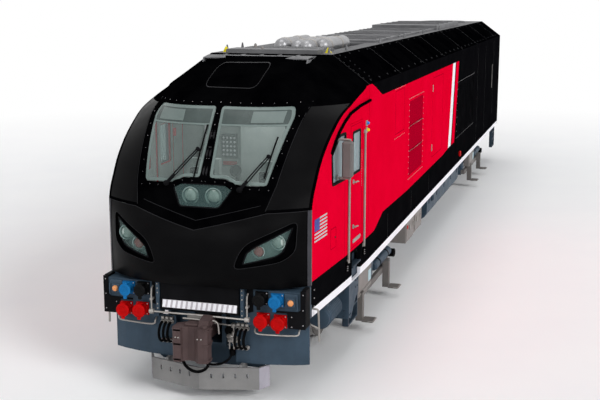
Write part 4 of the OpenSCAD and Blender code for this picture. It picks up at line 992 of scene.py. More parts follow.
for s in SIDES:
    corner = [(0.985, 1.262), (1.3, 1.27), (1.335, 1.3), (1.335, 1.545), (1.402, 1.545), (1.402, 1.045),
              (1.175, 1.045), (1.165, 1.225), (1.15, 1.245), (0.985, 1.245)]
    frames_black.extrude([(s * y, z) for y, z in corner], "x", PANEL_X, PANEL_X + 0.018)
    frames_black.extrude([(s * y, z) for y, z in [(0.62, 1.2), (0.7, 1.225), (0.7, 1.52), (0.62, 1.54)]], "x", PANEL_X,
                         PANEL_X + 0.014)
    marker_boxes.chamfer_box((PANEL_X, s * MARKER_Y - 0.085, 1.315), (PANEL_X + 0.03, s * MARKER_Y + 0.085, 1.5), 0.01)
    marker_boxes.chamfer_box((PANEL_X + 0.03, s * MARKER_Y - 0.06, 1.335), (PANEL_X + 0.05, s * MARKER_Y + 0.06, 1.45),
                             0.01)
    marker_boxes.tube([(PANEL_X + 0.02, s * 1.29, 1.49), (PANEL_X + 0.05, s * 1.3, 1.42),
                       (PANEL_X + 0.03, s * 1.3, 1.3)], 0.01, smooth=2)
    markers.lathe([(0.045, 0.04), (0.062, 0.04), (0.078, 0.03), (0.086, 0.01)], (PANEL_X, s * 1.215, 1.392), AHEAD, 20)
    for y, z in ((1.37, 1.1), (1.37, 1.3), (1.37, 1.5), (1.22, 1.07), (1.22, 1.2)):
        socket_bolts.stud((PANEL_X + 0.016, s * y, z), AHEAD, 0.008, 0.01)
piece("socket_frames", frames_black, "satin")
piece("marker_boxes", marker_boxes, "slate")
piece("marker_lenses", markers, "orange")
piece("socket_bolts", socket_bolts, "bolt")

# Apron: pale step strip with slanted ridges, and its dark rim
strip, ridges = shapes(2)
strip.extrude([(-0.515, 1.212), (0.515, 1.212), (0.515, 1.318), (-0.515, 1.318)], "x", APRON_X, APRON_X + 0.006)
for y in np.linspace(-0.49, 0.49, 15):
    ridges.extrude([(y - 0.03, 1.214), (y + 0.01, 1.214), (y + 0.03, 1.316), (y - 0.01, 1.316)], "x", APRON_X + 0.005,
                   APRON_X + 0.01)
piece("apron_step_strip", strip, "decal")
piece("apron_step_ridges", ridges, "white")
rim = Shape()
rim.extrude([(-0.54, 1.188), (0.54, 1.188), (0.54, 1.21), (-0.54, 1.21)], "x", APRON_X, APRON_X + 0.014)
for s in SIDES:
    rim.extrude([(s * 0.54, 1.188), (s * 0.524, 1.188), (s * 0.524, 1.34), (s * 0.54, 1.34)], "x", APRON_X,
                APRON_X + 0.012)
piece("apron_rim", rim, "satin")

# Brackets, uncoupling bar, grab irons and hose ends across the front
BRACKET_Y, GRAB_Y = 0.585, 0.66
brackets, metal = shapes(2)
for s in SIDES:
    brackets.chamfer_box((APRON_X - 0.1, s * BRACKET_Y - 0.028, 1.12), (APRON_X + 0.004, s * BRACKET_Y + 0.028, 1.545),
                         0.008)
    brackets.chamfer_box((PANEL_X - 0.03, s * BRACKET_Y - 0.05, 1.16), (APRON_X - 0.08, s * BRACKET_Y + 0.05, 1.24),
                         0.01)
    for z in (1.19, 1.25, 1.4, 1.46, 1.52):
        metal.stud((APRON_X + 0.002, s * BRACKET_Y, z), AHEAD, 0.011, 0.014)
    metal.tube([(APRON_X + 0.03, s * GRAB_Y, 1.16), (APRON_X + 0.03, s * GRAB_Y, 1.45),
                (APRON_X - 0.02, s * GRAB_Y, 1.48)], 0.011, smooth=1)
    metal.lathe([(-0.03, 0.03), (-0.026, 0.034), (0.026, 0.034), (0.03, 0.03)], (APRON_X + 0.03, s * GRAB_Y, 1.15),
                (0, 1, 0), 14)
    metal.chamfer_box((APRON_X - 0.03, s * GRAB_Y - 0.018, 1.3), (APRON_X + 0.05, s * GRAB_Y + 0.018, 1.33), 0.004)
metal.tube([(APRON_X + 0.03, -GRAB_Y, 1.15), (APRON_X + 0.04, -0.2, 1.155), (APRON_X + 0.04, 0.2, 1.155),
            (APRON_X + 0.03, GRAB_Y, 1.15)], 0.012, smooth=1)
metal.chamfer_box((APRON_X + 0.015, -0.16, 1.1), (APRON_X + 0.035, 0.16, 1.165), 0.006)
metal.tube([(APRON_X + 0.03, 0.05, 1.13), (APRON_X + 0.02, 0.07, 1.04), (APRON_X - 0.02, 0.07, 0.99)], 0.012, smooth=1)
for s in SIDES:
    iron = [(PILOT_X - 0.02, s * 0.7, 1.0), (PILOT_X + 0.045, s * 0.7, 0.97), (PILOT_X + 0.045, s * 0.7, 0.92),
            (PILOT_X + 0.045, s * 0.78, 0.905), (PILOT_X - 0.015, s * 1.2, 0.905), (PILOT_X - 0.03, s * 1.27, 0.915),
            (PILOT_X - 0.04, s * 1.27, 0.97), (PILOT_X - 0.14, s * 1.27, 1.0)]
    metal.tube(iron, 0.012, smooth=2)
    metal.tube([(CORNER_X - 0.06, s * (HALF_FRONT - 0.02), 1.235), (CORNER_X - 0.06, s * 1.47, 1.235),
                (CORNER_X - 0.06, s * 1.485, 1.2), (CORNER_X - 0.06, s * 1.495, 0.8)], 0.014, smooth=1)
    metal.chamfer_box((CORNER_X - 0.12, s * (HALF_FRONT - 0.07) - 0.012, 1.02),
                      (CORNER_X, s * (HALF_FRONT - 0.07) + 0.012, 1.26), 0.005)
    metal.tube([(CORNER_X - 0.06, s * (HALF_FRONT - 0.06), 1.03), (CORNER_X - 0.06, s * 1.485, 0.98)], 0.012)
    for i in range(3):
        y = s * (0.47 + 0.06 * i)
        for z in (0.96, 0.7):
            metal.lathe([(0, 0.025), (0.012, 0.03), (0.03, 0.03), (0.036, 0.024), (0.066, 0.024), (0.07, 0.019)],
                        (PILOT_X, y, z), AHEAD, 14)
        metal.chamfer_box((PILOT_X, y - 0.022, 0.99), (PILOT_X + 0.05, y + 0.022, 1.03), 0.006)
        metal.rod((PILOT_X + 0.025, y, 0.97), (PILOT_X + 0.025, y, 1.0), 0.012)
    for y, z in row((0.68, 1.018), (0.8, 1.018), 3):
        metal.stud((PILOT_X - 0.001, s * y, z), AHEAD, 0.01, 0.013)
piece("front_brackets", brackets, "slate")
piece("front_metalwork", metal, "steel")

# Brake gear beside the coupler, and plates behind it
gear, gear_dark = shapes(2)
gear.tube([(PILOT_X - 0.03, -0.12, 0.985), (PILOT_X + 0.02, 0.32, 0.985), (PILOT_X + 0.02, 0.44, 0.985)], 0.012)
gear.tube([(PILOT_X - 0.05, 0.29, 0.77), (PILOT_X + 0.03, 0.33, 0.775), (PILOT_X + 0.03, 0.5, 0.8)], 0.012, smooth=1)
gear.lathe([(0, 0.022), (0.03, 0.022), (0.035, 0.05), (0.06, 0.055), (0.09, 0.055), (0.1, 0.03), (0.16, 0.025),
            (0.165, 0.012)], (PILOT_X + 0.02, 0.4, 0.74), UP, 18)
gear.rod((PILOT_X + 0.02, 0.4, 0.62), (PILOT_X + 0.02, 0.4, 1.02), 0.01)
gear.lathe([(0, 0.03), (0.02, 0.036), (0.05, 0.036), (0.06, 0.02)], (PILOT_X + 0.02, 0.4, 0.96), UP, 14)
gear.chamfer_box((PILOT_X - 0.03, 0.33, 0.765), (PILOT_X + 0.07, 0.47, 0.8), 0.008)
for y in (0.34, 0.46):
    gear.rod((PILOT_X + 0.02, y, 0.66), (PILOT_X + 0.02, y, 0.77), 0.01)
gear.lathe([(0, 0.03), (0.03, 0.042), (0.07, 0.042), (0.1, 0.028)], (PILOT_X, 0.31, 0.83), (0.3, 1, 0), 14)
gear_dark.lathe([(0, 0.05), (0.01, 0.06), (0.05, 0.06), (0.06, 0.045)], (PILOT_X - 0.04, 0.33, 0.9), AHEAD, 18)
gear_dark.tube([(PILOT_X + 0.03, 0.38, 0.6), (PILOT_X + 0.09, 0.34, 0.52), (PILOT_X + 0.11, 0.22, 0.46),
                (PILOT_X + 0.11, 0.05, 0.45), (PILOT_X + 0.06, -0.14, 0.53), (PILOT_X - 0.02, -0.22, 0.66)],
               0.016, smooth=3)
gear_dark.lathe([(0, 0.02), (0.01, 0.034), (0.06, 0.034), (0.08, 0.022)], (PILOT_X + 0.03, 0.385, 0.58),
                (0.1, 0.05, 1), 14)
backing = Shape()
for s in SIDES:
    backing.extrude([(s * 0.25, 0.5), (s * 0.52, 0.47), (s * 0.52, 1.05), (s * 0.25, 1.05)], "x", PILOT_X - 0.22,
                    PILOT_X - 0.2)
    backing.side_box(s, (PILOT_X - 0.4, PILOT_X - 0.2), (0.25, 0.27), (0.52, 1.05), 0.004)
backing.extrude([(-0.7, 0.36), (0.7, 0.36), (0.8, 0.44), (0.8, 0.62), (-0.8, 0.62), (-0.8, 0.44)], "x", PILOT_X - 0.22,
                PILOT_X - 0.2)
piece("draft_pocket_plates", backing, "slate")
piece("brake_gear", gear, "steel")
piece("brake_gear_hoses", gear_dark, "rubber")

# Pale plow flaps
flaps = Shape()
PLOW_LOW, PLOW_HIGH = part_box("plow")
for s in SIDES:
    line = [(PLOW_HIGH[0] - 0.204, 0.758), (PLOW_LOW[0] + 0.002, PLOW_HIGH[1] + 0.001)]
    flaps.extrude([(x, s * (y + d)) for d, order in ((0.0, 1), (0.004, -1)) for x, y in line[::order]], "z",
                  PLOW_LOW[2] + 0.002, 0.448)
piece("plow_flaps", flaps, "flap")

# Couplers: knuckle pin, ribs and lever ride with each
HEAD_LOW, HEAD_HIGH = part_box("coupler_front")
for body, end in (("coupler_front", 1), ("coupler_rear", -1)):
    cast, light = shapes(2)
    face = HEAD_HIGH[0]
    top = HEAD_HIGH[2] - 0.07
    low = HEAD_LOW[2]
    cast.lathe([(0, 0.034), (0.02, 0.04), (top - low + 0.02, 0.04), (top - low + 0.045, 0.03),
                (top - low + 0.05, 0.012)], (face - 0.085, 0.165, low - 0.01), UP, 18)
    for z in (low + 0.02, (low + top) / 2, top - 0.04):
        cast.extrude([(face - 0.21, -0.267), (face - 0.05, -0.267), (face, -0.232), (face, -0.13),
                      (face - 0.21, -0.13)], "z", z, z + 0.022)
        cast.extrude([(face - 0.16, 0.238), (face - 0.045, 0.236), (face - 0.002, 0.196), (face - 0.002, 0.11),
                      (face - 0.16, 0.16)], "z", z, z + 0.022)
    cast.chamfer_box((face - 0.34, -0.13, top - 0.005), (face - 0.12, 0.06, top + 0.03), 0.012)
    cast.extrude([(face - 0.36, top), (face - 0.3, top + 0.11), (face - 0.15, top + 0.075), (face - 0.1, top)], "y",
                 0.07, 0.2)
    light.rod((face - 0.26, -0.2, top + 0.05), (face - 0.26, 0.24, top + 0.05), 0.012)
    light.tube([(face - 0.26, 0.24, top + 0.05), (face - 0.27, 0.28, top + 0.02), (face - 0.27, 0.29, top - 0.12)],
               0.011, smooth=1)
    for y in (-0.2, -0.16, 0.1, 0.15):
        light.stud((face - 0.004, y, (low + top) / 2 + 0.1), AHEAD, 0.011, 0.014)
    if end < 0:
        for part in (cast, light):
            part.verts = [(-x, -y, z) for x, y, z in part.verts]
    piece(f"{body}_castings", cast, "cast", body)
    piece(f"{body}_lever", light, "steel", body)

# Cab and body sides
CAB_WINDOW = [(SEAM_X + (CORNER_X - SEAM_X) * a, wall_level(b))
              for a, b in ((0.479, 0.572), (0.688, 0.572), (0.699, 0.718), (0.573, 0.8), (0.479, 0.8))]
window_r = rounded(CAB_WINDOW, 0.04)
DOOR_LOW, DOOR_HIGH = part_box("cab_door_left")
DOOR_X = (DOOR_HIGH[0] - 0.66, DOOR_HIGH[0])
GLASS_LOW, GLASS_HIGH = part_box("door_glass_left")
door_window = rounded(rect((GLASS_LOW[0], GLASS_LOW[2]), (GLASS_HIGH[0], GLASS_HIGH[2])), 0.03)
side_panes, gaskets, seams, black_seams, studs, rails, trims, lamps_y, lamps_b = shapes(9)
flag_white, flag_blue, tread, slits, red_box = shapes(5)
# One of the decal's thirteen stripes
STRIPE = 0.3 / 13
for s in SIDES:
    side = on_side(s)
    side_panes.join(skin(side, shrunk(window_r, 0.003), step=0.12, lift=-0.012, depth=0.012))
    gaskets.ribbon(side, window_r, 0.036, 0.01, closed=True, sink=-0.02)
    trims.ribbon(side, [(9.687, 3.151), (9.555, 3.278), (9.387, 3.393), (9.137, 3.51), (8.871, 3.597), (8.352, 3.649),
                        (7.757, 3.674)], 0.034, 0.03, sink=TRIM_ROOT)
    seams.ribbon(side, [(SEAM_X, 1.63), (SEAM_X, 3.87)], 0.006, LINE_LIFT, sink=TRIM_ROOT)
    seams.ribbon(side, rounded(rect((9.451, 1.844), (9.682, 2.12)), 0.02), 0.005, LINE_LIFT, closed=True,
                 sink=TRIM_ROOT)
    black_seams.studs(side, [(9.488, 1.982)], 0.014, 0.01)
    for x in (8.0, 8.894, 9.069, 8.135):
        seams.ribbon(side, [(x, 1.6), (x, 3.3)], 0.004, 0.0012, sink=TRIM_ROOT)
    for x, z in ((8.984, 1.459), (8.05, 1.48)):
        trims.ribbon(side, [(x, z - 0.09), (x, z + 0.05)], 0.055, 0.02, sink=-0.03)
        studs.studs(side, [(x + a, z + b) for a in (-0.015, 0.015) for b in (-0.075, -0.045, -0.015)], 0.006, 0.03)
    # The flag's white stripes take the grey decal colour, which is painted shade
    for i in range(7):
        z = 2.09 + STRIPE * (2 * i + 0.5)
        flag_white.ribbon(side, [(9.834, z), (10.333 if z < 2.22 else 10.136, z)], STRIPE, 0.002, sink=TRIM_ROOT)
    flag_blue.ribbon(side, [(10.136, 2.3085), (10.333, 2.3085)], 0.162, 0.0024, sink=TRIM_ROOT)
    seams.ribbon(side, rounded(rect((5.03, 2.9), (5.8, 3.62)), 0.02), 0.006, LINE_LIFT, closed=True, sink=TRIM_ROOT)
    studs.studs(side, row((5.0, 2.83), (5.83, 2.83), 8) + row((5.0, 3.66), (5.83, 3.66), 8), 0.008, 0.006)
    seams.ribbon(side, rounded(rect((0.75, 1.95), (2.05, 3.55)), 0.03), 0.006, LINE_LIFT, closed=True, sink=TRIM_ROOT)
    for z in (2.15, 3.35):
        rails.ribbon(side, [(2.06, z - 0.07), (2.06, z + 0.07)], 0.03, 0.012, sink=TRIM_ROOT)
    for x in (6.3, 4.2, 2.3, -5.2, -6.9):
        black_seams.ribbon(side, [(x, 1.27), (x, 1.66)], 0.006, LINE_LIFT, sink=TRIM_ROOT)
    for x in (-5.2, -6.9, -8.9):
        black_seams.ribbon(side, [(x, 1.66), (x, 3.78)], 0.006, LINE_LIFT, sink=TRIM_ROOT)
    slits.ribbon(side, [(-8.64, 2.43), (-8.64, 3.13)], 0.05, 0.004, sink=TRIM_ROOT)
    red_box.chamfer_box((-2.09, s * (HALF_W + 0.02) - 0.022, 1.37), (-1.95, s * (HALF_W + 0.02) + 0.022, 1.49), 0.008)
    for z, target in ((3.352, lamps_b), (3.252, lamps_y)):
        rails.ribbon(side, [(7.94, z - 0.04), (7.94, z + 0.04)], 0.075, 0.012, sink=TRIM_ROOT)
        base = side(7.92, z, 0.01)
        target.lathe([(0, 0.026), (0.012, 0.026), (0.03, 0.02), (0.036, 0.008)], base, (0, s, 0), 16)
    studs.studs(side, row((10.34, 1.25), (10.34, 1.47), 3), 0.01, 0.007)
    tread.chamfer_box((8.21, s * 1.475 - 0.05, 1.335), (8.68, s * 1.475 + 0.05, 1.36), 0.006)
    tread.chamfer_box((8.21, s * 1.41 - 0.01, 1.36), (8.68, s * 1.41 + 0.01, 1.55), 0.006)
for name, s in HANDS:
    panel = [(SEAM_X, SILL_Z), (CORNER_X, SILL_Z)]
    panel += [(float(smooth_table(z, 2)), float(z)) for z in np.linspace(NOSE_Z, CANTRAIL_Z, 60)]
    panel.append((SEAM_X, CANTRAIL_Z))
    doorway = rect((DOOR_X[0] - 0.01, DOOR_LOW[2] - 0.008), (DOOR_X[1] + 0.008, DOOR_HIGH[2] + 0.008))
    well = rect((DOOR_X[0] + 0.04, SILL_Z + 0.01), (DOOR_X[1] - 0.13, DOOR_LOW[2] - 0.03))
    piece(f"cab_side_skin_{name}", skin(on_side(s), panel, [window_r, doorway, well], step=0.12), "livery",
          replaces=(f"cab_side_{name}",))
    lining = [(SEAM_X + 0.02, SILL_Z + 0.45), (CORNER_X - 0.06, SILL_Z + 0.45)]
    lining += [(float(smooth_table(z, 2)) - 0.06, float(z)) for z in np.linspace(NOSE_Z + 0.1, CANTRAIL_Z - 0.06, 30)]
    lining.append((SEAM_X + 0.02, CANTRAIL_Z - 0.06))
    piece(f"cab_side_lining_{name}", skin(on_side(s), lining, [shrunk(window_r, -0.004), shrunk(doorway, -0.012)],
                                          step=0.2, lift=-0.052, depth=0.004), "lining")
piece("cab_side_panes", side_panes, "side_pane")
piece("cab_window_gaskets", gaskets, "rubber")
piece("drip_rails", trims, "black")
piece("side_seams", seams, "seam")
piece("black_side_seams", black_seams, "bead")
piece("side_bolts", studs, "bolt")
piece("side_plates", rails, "rail")
piece("stripe_decals", flag_white, "decal", slot="red paint")
piece("canton_decals", flag_blue, "blue_flag")
piece("step_well_treads", tread, "slate_dark")
piece("rear_slits", slits, "grey")
piece("red_side_lamps", red_box, "red_plastic")
piece("blue_side_lamps", lamps_b, "blue_lamp")
piece("yellow_side_lamps", lamps_y, "yellow")

# Fittings that ride with the cab doors
for name, s in HANDS:
    side = on_side(s)
    body = f"cab_door_{name}"
    rubber, handles, lines, dots = shapes(4)
    rubber.ribbon(side, door_window, 0.034, 0.009, closed=True, sink=-0.02)
    for x, z in ((8.66, 2.6), (8.66, 1.95)):
        base = side(x, z, 0.0)
        handles.lathe([(-0.004, 0.034), (0.01, 0.034), (0.014, 0.016), (0.045, 0.014), (0.05, 0.008)], base, (0, s, 0),
                      16)
        handles.tube([side(x, z, 0.042), side(x - 0.05, z + 0.004, 0.05), side(x - 0.13, z - 0.014, 0.045)], 0.01,
                     smooth=1)
    handles.ribbon(side, [(8.25, 1.73), (8.66, 1.73)], 0.055, 0.006, sink=TRIM_ROOT)
    lines.ribbon(side, rect((DOOR_X[0] + 0.03, DOOR_LOW[2] + 0.05), (DOOR_X[1] - 0.03, DOOR_HIGH[2] - 0.03)), 0.004,
                 LINE_LIFT, closed=True, sink=TRIM_ROOT)
    dots.studs(side, row((8.19, 2.47), (8.19, 2.99), 22), 0.004, 0.005)
    dots.studs(side, [(8.24, 1.73), (8.67, 1.73)], 0.006, 0.01)
    inner = rect((DOOR_X[0] + 0.05, DOOR_LOW[2] + 0.02), (DOOR_X[1] - 0.03, DOOR_HIGH[2] - 0.02))
    piece(f"door_lining_{name}", skin(side, inner, [shrunk(door_window, -0.01)], step=0.3, lift=-0.066, depth=0.004),
          "lining", body)
    piece(f"door_gasket_{name}", rubber, "rubber", body)
    piece(f"door_handles_{name}", handles, "rail", body)
    piece(f"door_lines_{name}", lines, "seam", body)
    piece(f"door_dots_{name}", dots, "bolt", body)

# Intake screens and louvres in the side openings


def body_x(share):
    return BODY_LOW[0] + (SEAM_X - BODY_LOW[0]) * share


screens_r, louvres, screen_studs, screen_lines = shapes(4)
intake = (body_x(0.748), body_x(0.822), wall_level(0.307), wall_level(0.794))
louvre = (body_x(0.334), body_x(0.493), wall_level(0.289), wall_level(0.722))
for s in SIDES:
    side = on_side(s)
    screens_r.join(skin(side, rect((intake[0] + 0.002, intake[2] + 0.002), (intake[1] - 0.002, intake[3] - 0.002)),
                        step=0.4, lift=-0.006, depth=0.03))
    ring = rect((intake[0] - 0.05, intake[2] - 0.05), (intake[1] + 0.05, intake[3] + 0.05))
    screen_studs.studs(side, loop_places(ring, 0.1), 0.008, 0.006)
    for z in (intake[2] + 0.45, intake[2] + 0.9):
        screen_lines.ribbon(side, [(intake[0], z), (intake[1], z)], 0.018, 0.002, sink=-0.01)
        screen_studs.studs(side, row((intake[0] + 0.05, z), (intake[1] - 0.05, z), 12), 0.007, 0.007)
    ring = rect((louvre[0] - 0.05, louvre[2] - 0.05), (louvre[1] + 0.05, louvre[3] + 0.05))
    screen_studs.studs(side, loop_places(ring, 0.16), 0.008, 0.006)
    louvres.ribbon(side, rect((louvre[0], louvre[2]), (louvre[1], louvre[3])), 0.05, 0.01, closed=True, sink=-0.03)
    y = s * HALF_W
    for z in np.arange(louvre[2] + 0.03, louvre[3] - 0.03, 0.058):
        louvres.extrude([(y - s * 0.05, z + 0.052), (y - s * 0.046, z + 0.056), (y + s * 0.004, z + 0.006), (y, z)],
                        "x", louvre[0], louvre[1])
    for x in np.linspace(louvre[0], louvre[1], 6)[1:-1]:
        near, far = sorted((y - s * 0.055, y + s * 0.006))
        louvres.box((x - 0.012, near, louvre[2]), (x + 0.012, far, louvre[3]))
    near, far = sorted((y - s * 0.06, y - s * 0.056))
    louvres.box((louvre[0], near, louvre[2]), (louvre[1], far, louvre[3]))
piece("intake_screens", screens_r, "grille", replaces=("side_grilles",))
piece("intake_bars", screen_lines, "seam", slot="grille paint")
piece("rear_louvres", louvres, "louvre")
piece("screen_bolts", screen_studs, "bolt")

# Mirrors: hoods, glass and stays, with the right-hand one folded in
MIRROR_LOW, MIRROR_HIGH = (9.4, -1.689, 2.784), (9.53, 1.689, 3.314)
FOLDED_OUT = 1.575
hoods, glasses, stays = shapes(3)
for s in SIDES:
    out, wide = (MIRROR_HIGH[1], 0.135) if s > 0 else (FOLDED_OUT, 0.07)
    y = sorted((s * (out - wide), s * (out + 0.004)))
    hoods.chamfer_box((MIRROR_LOW[0] - 0.004, y[0], MIRROR_LOW[2] + 0.02),
                      (MIRROR_HIGH[0] + 0.004, y[1], MIRROR_HIGH[2] - 0.02), 0.022)
    glasses.box((MIRROR_LOW[0] - 0.007, y[0] + 0.02, MIRROR_LOW[2] + 0.06),
                (MIRROR_LOW[0] - 0.003, y[1] - 0.02, MIRROR_HIGH[2] - 0.06))
    for z in (MIRROR_LOW[2] + 0.004, MIRROR_HIGH[2] - 0.004):
        stays.tube([(9.41, s * 1.475, z), (9.43, s * (out - 0.7 * wide), z), (9.45, s * (out - 0.03), z)], 0.015,
                   smooth=1)
        stays.lathe([(-0.004, 0.034), (0.008, 0.034), (0.012, 0.02)], (9.41, s * float(side_y(9.41)), z), (0, s, 0),
                    14)
    stays.tube([(9.35, s * 1.48, MIRROR_LOW[2] - 0.02), (9.41, s * (out - 0.06), MIRROR_LOW[2] - 0.005)], 0.012)
piece("mirror_hoods", hoods, "mirror", replaces=("mirrors",))
piece("mirror_glasses", glasses, "bright")
piece("mirror_stays", stays, "rail")

# Cab roof between the body's end and the front skin
brow = [(float(front_x(y, DECK_Z)) - 0.004, float(y)) for y in np.linspace(-HALF_DECK, HALF_DECK, 25)]
cap = skin(on_deck, [(SEAM_X, -HALF_DECK)] + brow + [(SEAM_X, HALF_DECK)], step=0.12, lift=-0.002, depth=0.02)
for s in SIDES:
    rise = np.linspace(0, 1, 9)
    edge = [(float(smooth_table(CANTRAIL_Z + (DECK_Z - CANTRAIL_Z) * v, 2)) + 0.004, float(v)) for v in rise]
    cap.join(skin(on_slope(s), [(SEAM_X, 0.0)] + edge + [(SEAM_X, 1.0)], step=0.12, lift=-0.001, depth=0.02))
piece("cab_roof_cap", cap, "roof_black")

# Ribbed visor at the front edge of the roof deck
visor = Shape()
visor.extrude([(8.1, DECK_Z - 0.04), (8.1, DECK_Z - 0.006), (8.3, DECK_Z + 0.006), (8.52, DECK_Z - 0.022),
               (8.52, DECK_Z - 0.036)], "y", -0.8, 0.8)
for s in SIDES:
    visor.extrude([(8.2, DECK_Z - 0.012), (8.52, DECK_Z - 0.022), (8.56, DECK_Z - 0.085), (8.44, DECK_Z - 0.075)], "y",
                  s * 0.78, s * 0.8)
for y in (-0.56, -0.28, 0.0, 0.28, 0.56):
    visor.chamfer_box((8.14, y - 0.012, DECK_Z - 0.004), (8.34, y + 0.012, DECK_Z + 0.012), 0.004)
piece("roof_visor", visor, "hatch")

# Bolts along the roof slopes and beside the cab joint
slope_bolts = Shape()
for s in SIDES:
    slope = on_slope(s)
    slope_bolts.studs(slope, row((REAR_X + 0.3, 0.1), (SEAM_X - 0.3, 0.1), 30), 0.018, 0.012)
    slope_bolts.studs(slope, row((REAR_X + 0.3, 0.93), (SEAM_X - 0.3, 0.93), 30), 0.014, 0.01)
    for x in (SEAM_X - 0.07, SEAM_X - 0.45):
        slope_bolts.studs(slope, row((x, 0.2), (x, 0.85), 6), 0.013, 0.01)
piece("roof_slope_bolts", slope_bolts, "bead")
slope_lines = Shape()
for s in SIDES:
    for x in (SEAM_X - 0.02, 5.4, 3.0, 0.6, -2.2, -4.9, -7.2, -9.3):
        slope_lines.ribbon(on_slope(s), [(x, 0.0), (x, 1.0)], 0.008, 0.002, sink=-0.004)
piece("roof_slope_lines", slope_lines, "bead")

# Roof: silencer drums with collars and feet, lifting eyes with yellow caps, aerials
domes, stacks, cones, aerials = shapes(4)
SILENCER_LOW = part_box("silencers")[0]
for x, y, r in ((6.4, -0.3, 0.13), (6.52, 0.02, 0.12), (6.62, 0.2, 0.12), (6.3, 0.37, 0.13)):
    z = DECK_Z + 0.035
    domes.lathe([(SILENCER_LOW[0] - x, r * 0.6), (SILENCER_LOW[0] + 0.06 - x, r)]
                + [(r * math.sin(a) - r, r * math.cos(a)) for a in np.linspace(0, 1.5, 9)], (x, y, z), AHEAD, 32)
    for back in (0.3, 1.0):
        stacks.lathe([(0, r + 0.001), (0.004, r + 0.01), (0.05, r + 0.01), (0.054, r + 0.001)], (x - back, y, z),
                     AHEAD, 32)
    stacks.chamfer_box((x - 0.3, y - 0.5 * r, SILENCER_LOW[2]), (x - 0.24, y + 0.5 * r, z - 0.8 * r), 0.006)
piece("silencer_domes", domes, "bright", replaces=("silencers",))
piece("silencer_collars", stacks, "steel")
for x, y in ((7.69, -0.75), (7.54, 0.83)):
    cones.lathe([(-0.004, 0.055), (0.015, 0.05), (0.06, 0.026), (0.085, 0.016), (0.092, 0.005)], (x, y, DECK_Z), UP,
                18)
    aerials.lathe([(-0.004, 0.085), (0.006, 0.085), (0.01, 0.07)], (x, y, DECK_Z), UP, 18)
for x, y, h in ((7.62, -0.19, 0.1), (7.4, 0.3, 0.07), (7.18, -0.45, 0.12)):
    aerials.lathe([(-0.004, 0.05), (0.012, 0.05), (0.018, 0.028), (h - 0.02, 0.022), (h, 0.008)], (x, y, DECK_Z), UP,
                  18)
piece("roof_eye_caps", cones, "yellow", slot="red plastic")
piece("roof_aerials", aerials, "grey")

# Cab interior seen through the panes
dark, light, red, gauge = shapes(4)
back_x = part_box("cab_bulkhead")[1][0]
dark.chamfer_box((back_x, -0.8, 2.73), (back_x + 0.05, -0.55, 3.09), 0.008)
for i in range(4):
    for k in range(5):
        light.stud((back_x + 0.05, -0.765 + 0.06 * i, 2.77 + 0.065 * k), AHEAD, 0.018, 0.014)
red.chamfer_box((back_x + 0.001, -0.79, 2.6), (back_x + 0.03, -0.56, 2.66), 0.005)
dark.chamfer_box((back_x, 0.3, 2.25), (back_x + 0.28, 0.95, 3.35), 0.02)
for z in (2.55, 2.85, 3.15):
    light.chamfer_box((back_x + 0.28, 0.36, z - 0.11), (back_x + 0.292, 0.89, z + 0.11), 0.005)
dark.chamfer_box((back_x, -0.3, 2.2), (back_x + 0.04, 0.22, 3.6), 0.008)
red.rod((back_x + 0.06, -0.98, 2.3), (back_x + 0.06, -0.98, 3.5), 0.018)
light.rod((back_x + 0.06, -1.06, 2.3), (back_x + 0.06, -1.06, 3.5), 0.018)
piece("cab_panels", dark, "lining_dark")
piece("cab_buttons", light, "white", slot="cab lining")
piece("cab_red_fittings", red, "red_plastic")
gauge.lathe([(-0.06, 0.05), (0.0, 0.075), (0.02, 0.085), (0.028, 0.082), (0.028, 0.066), (0.016, 0.062)],
            (9.75, 0.14, 2.87), (0.9, 0, 0.3), 24)
gauge.rod((9.7, 0.14, 2.6), (9.72, 0.14, 2.86), 0.02)
gauge.chamfer_box((9.66, -0.55, 2.66), (9.72, -0.2, 2.88), 0.012)
gauge.chamfer_box((9.66, 0.45, 2.66), (9.72, 0.8, 2.86), 0.012)
piece("desk_screens", gauge, "black_plastic")

# Trucks: springs, axle-box caps, dampers, pipes, gear boxes and labels
AXLE_Z = (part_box("wheelset_1")[0][2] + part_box("wheelset_1")[1][2]) / 2
TRUCK_X = 6.48
AXLE_X = 1.4
COIL_STEPS = 12


def coil(shape, middle, radius, low, high, turns, wire):
    """Spring wound upward about a place."""
    steps = COIL_STEPS * turns
    path = []
    for i in range(steps + 1):
        turn = 2 * math.pi * i / COIL_STEPS
        path.append((middle[0] + radius * math.cos(turn), middle[1] + radius * math.sin(turn),
                     low + (high - low) * i / steps))
    shape.tube(path, wire, 6)


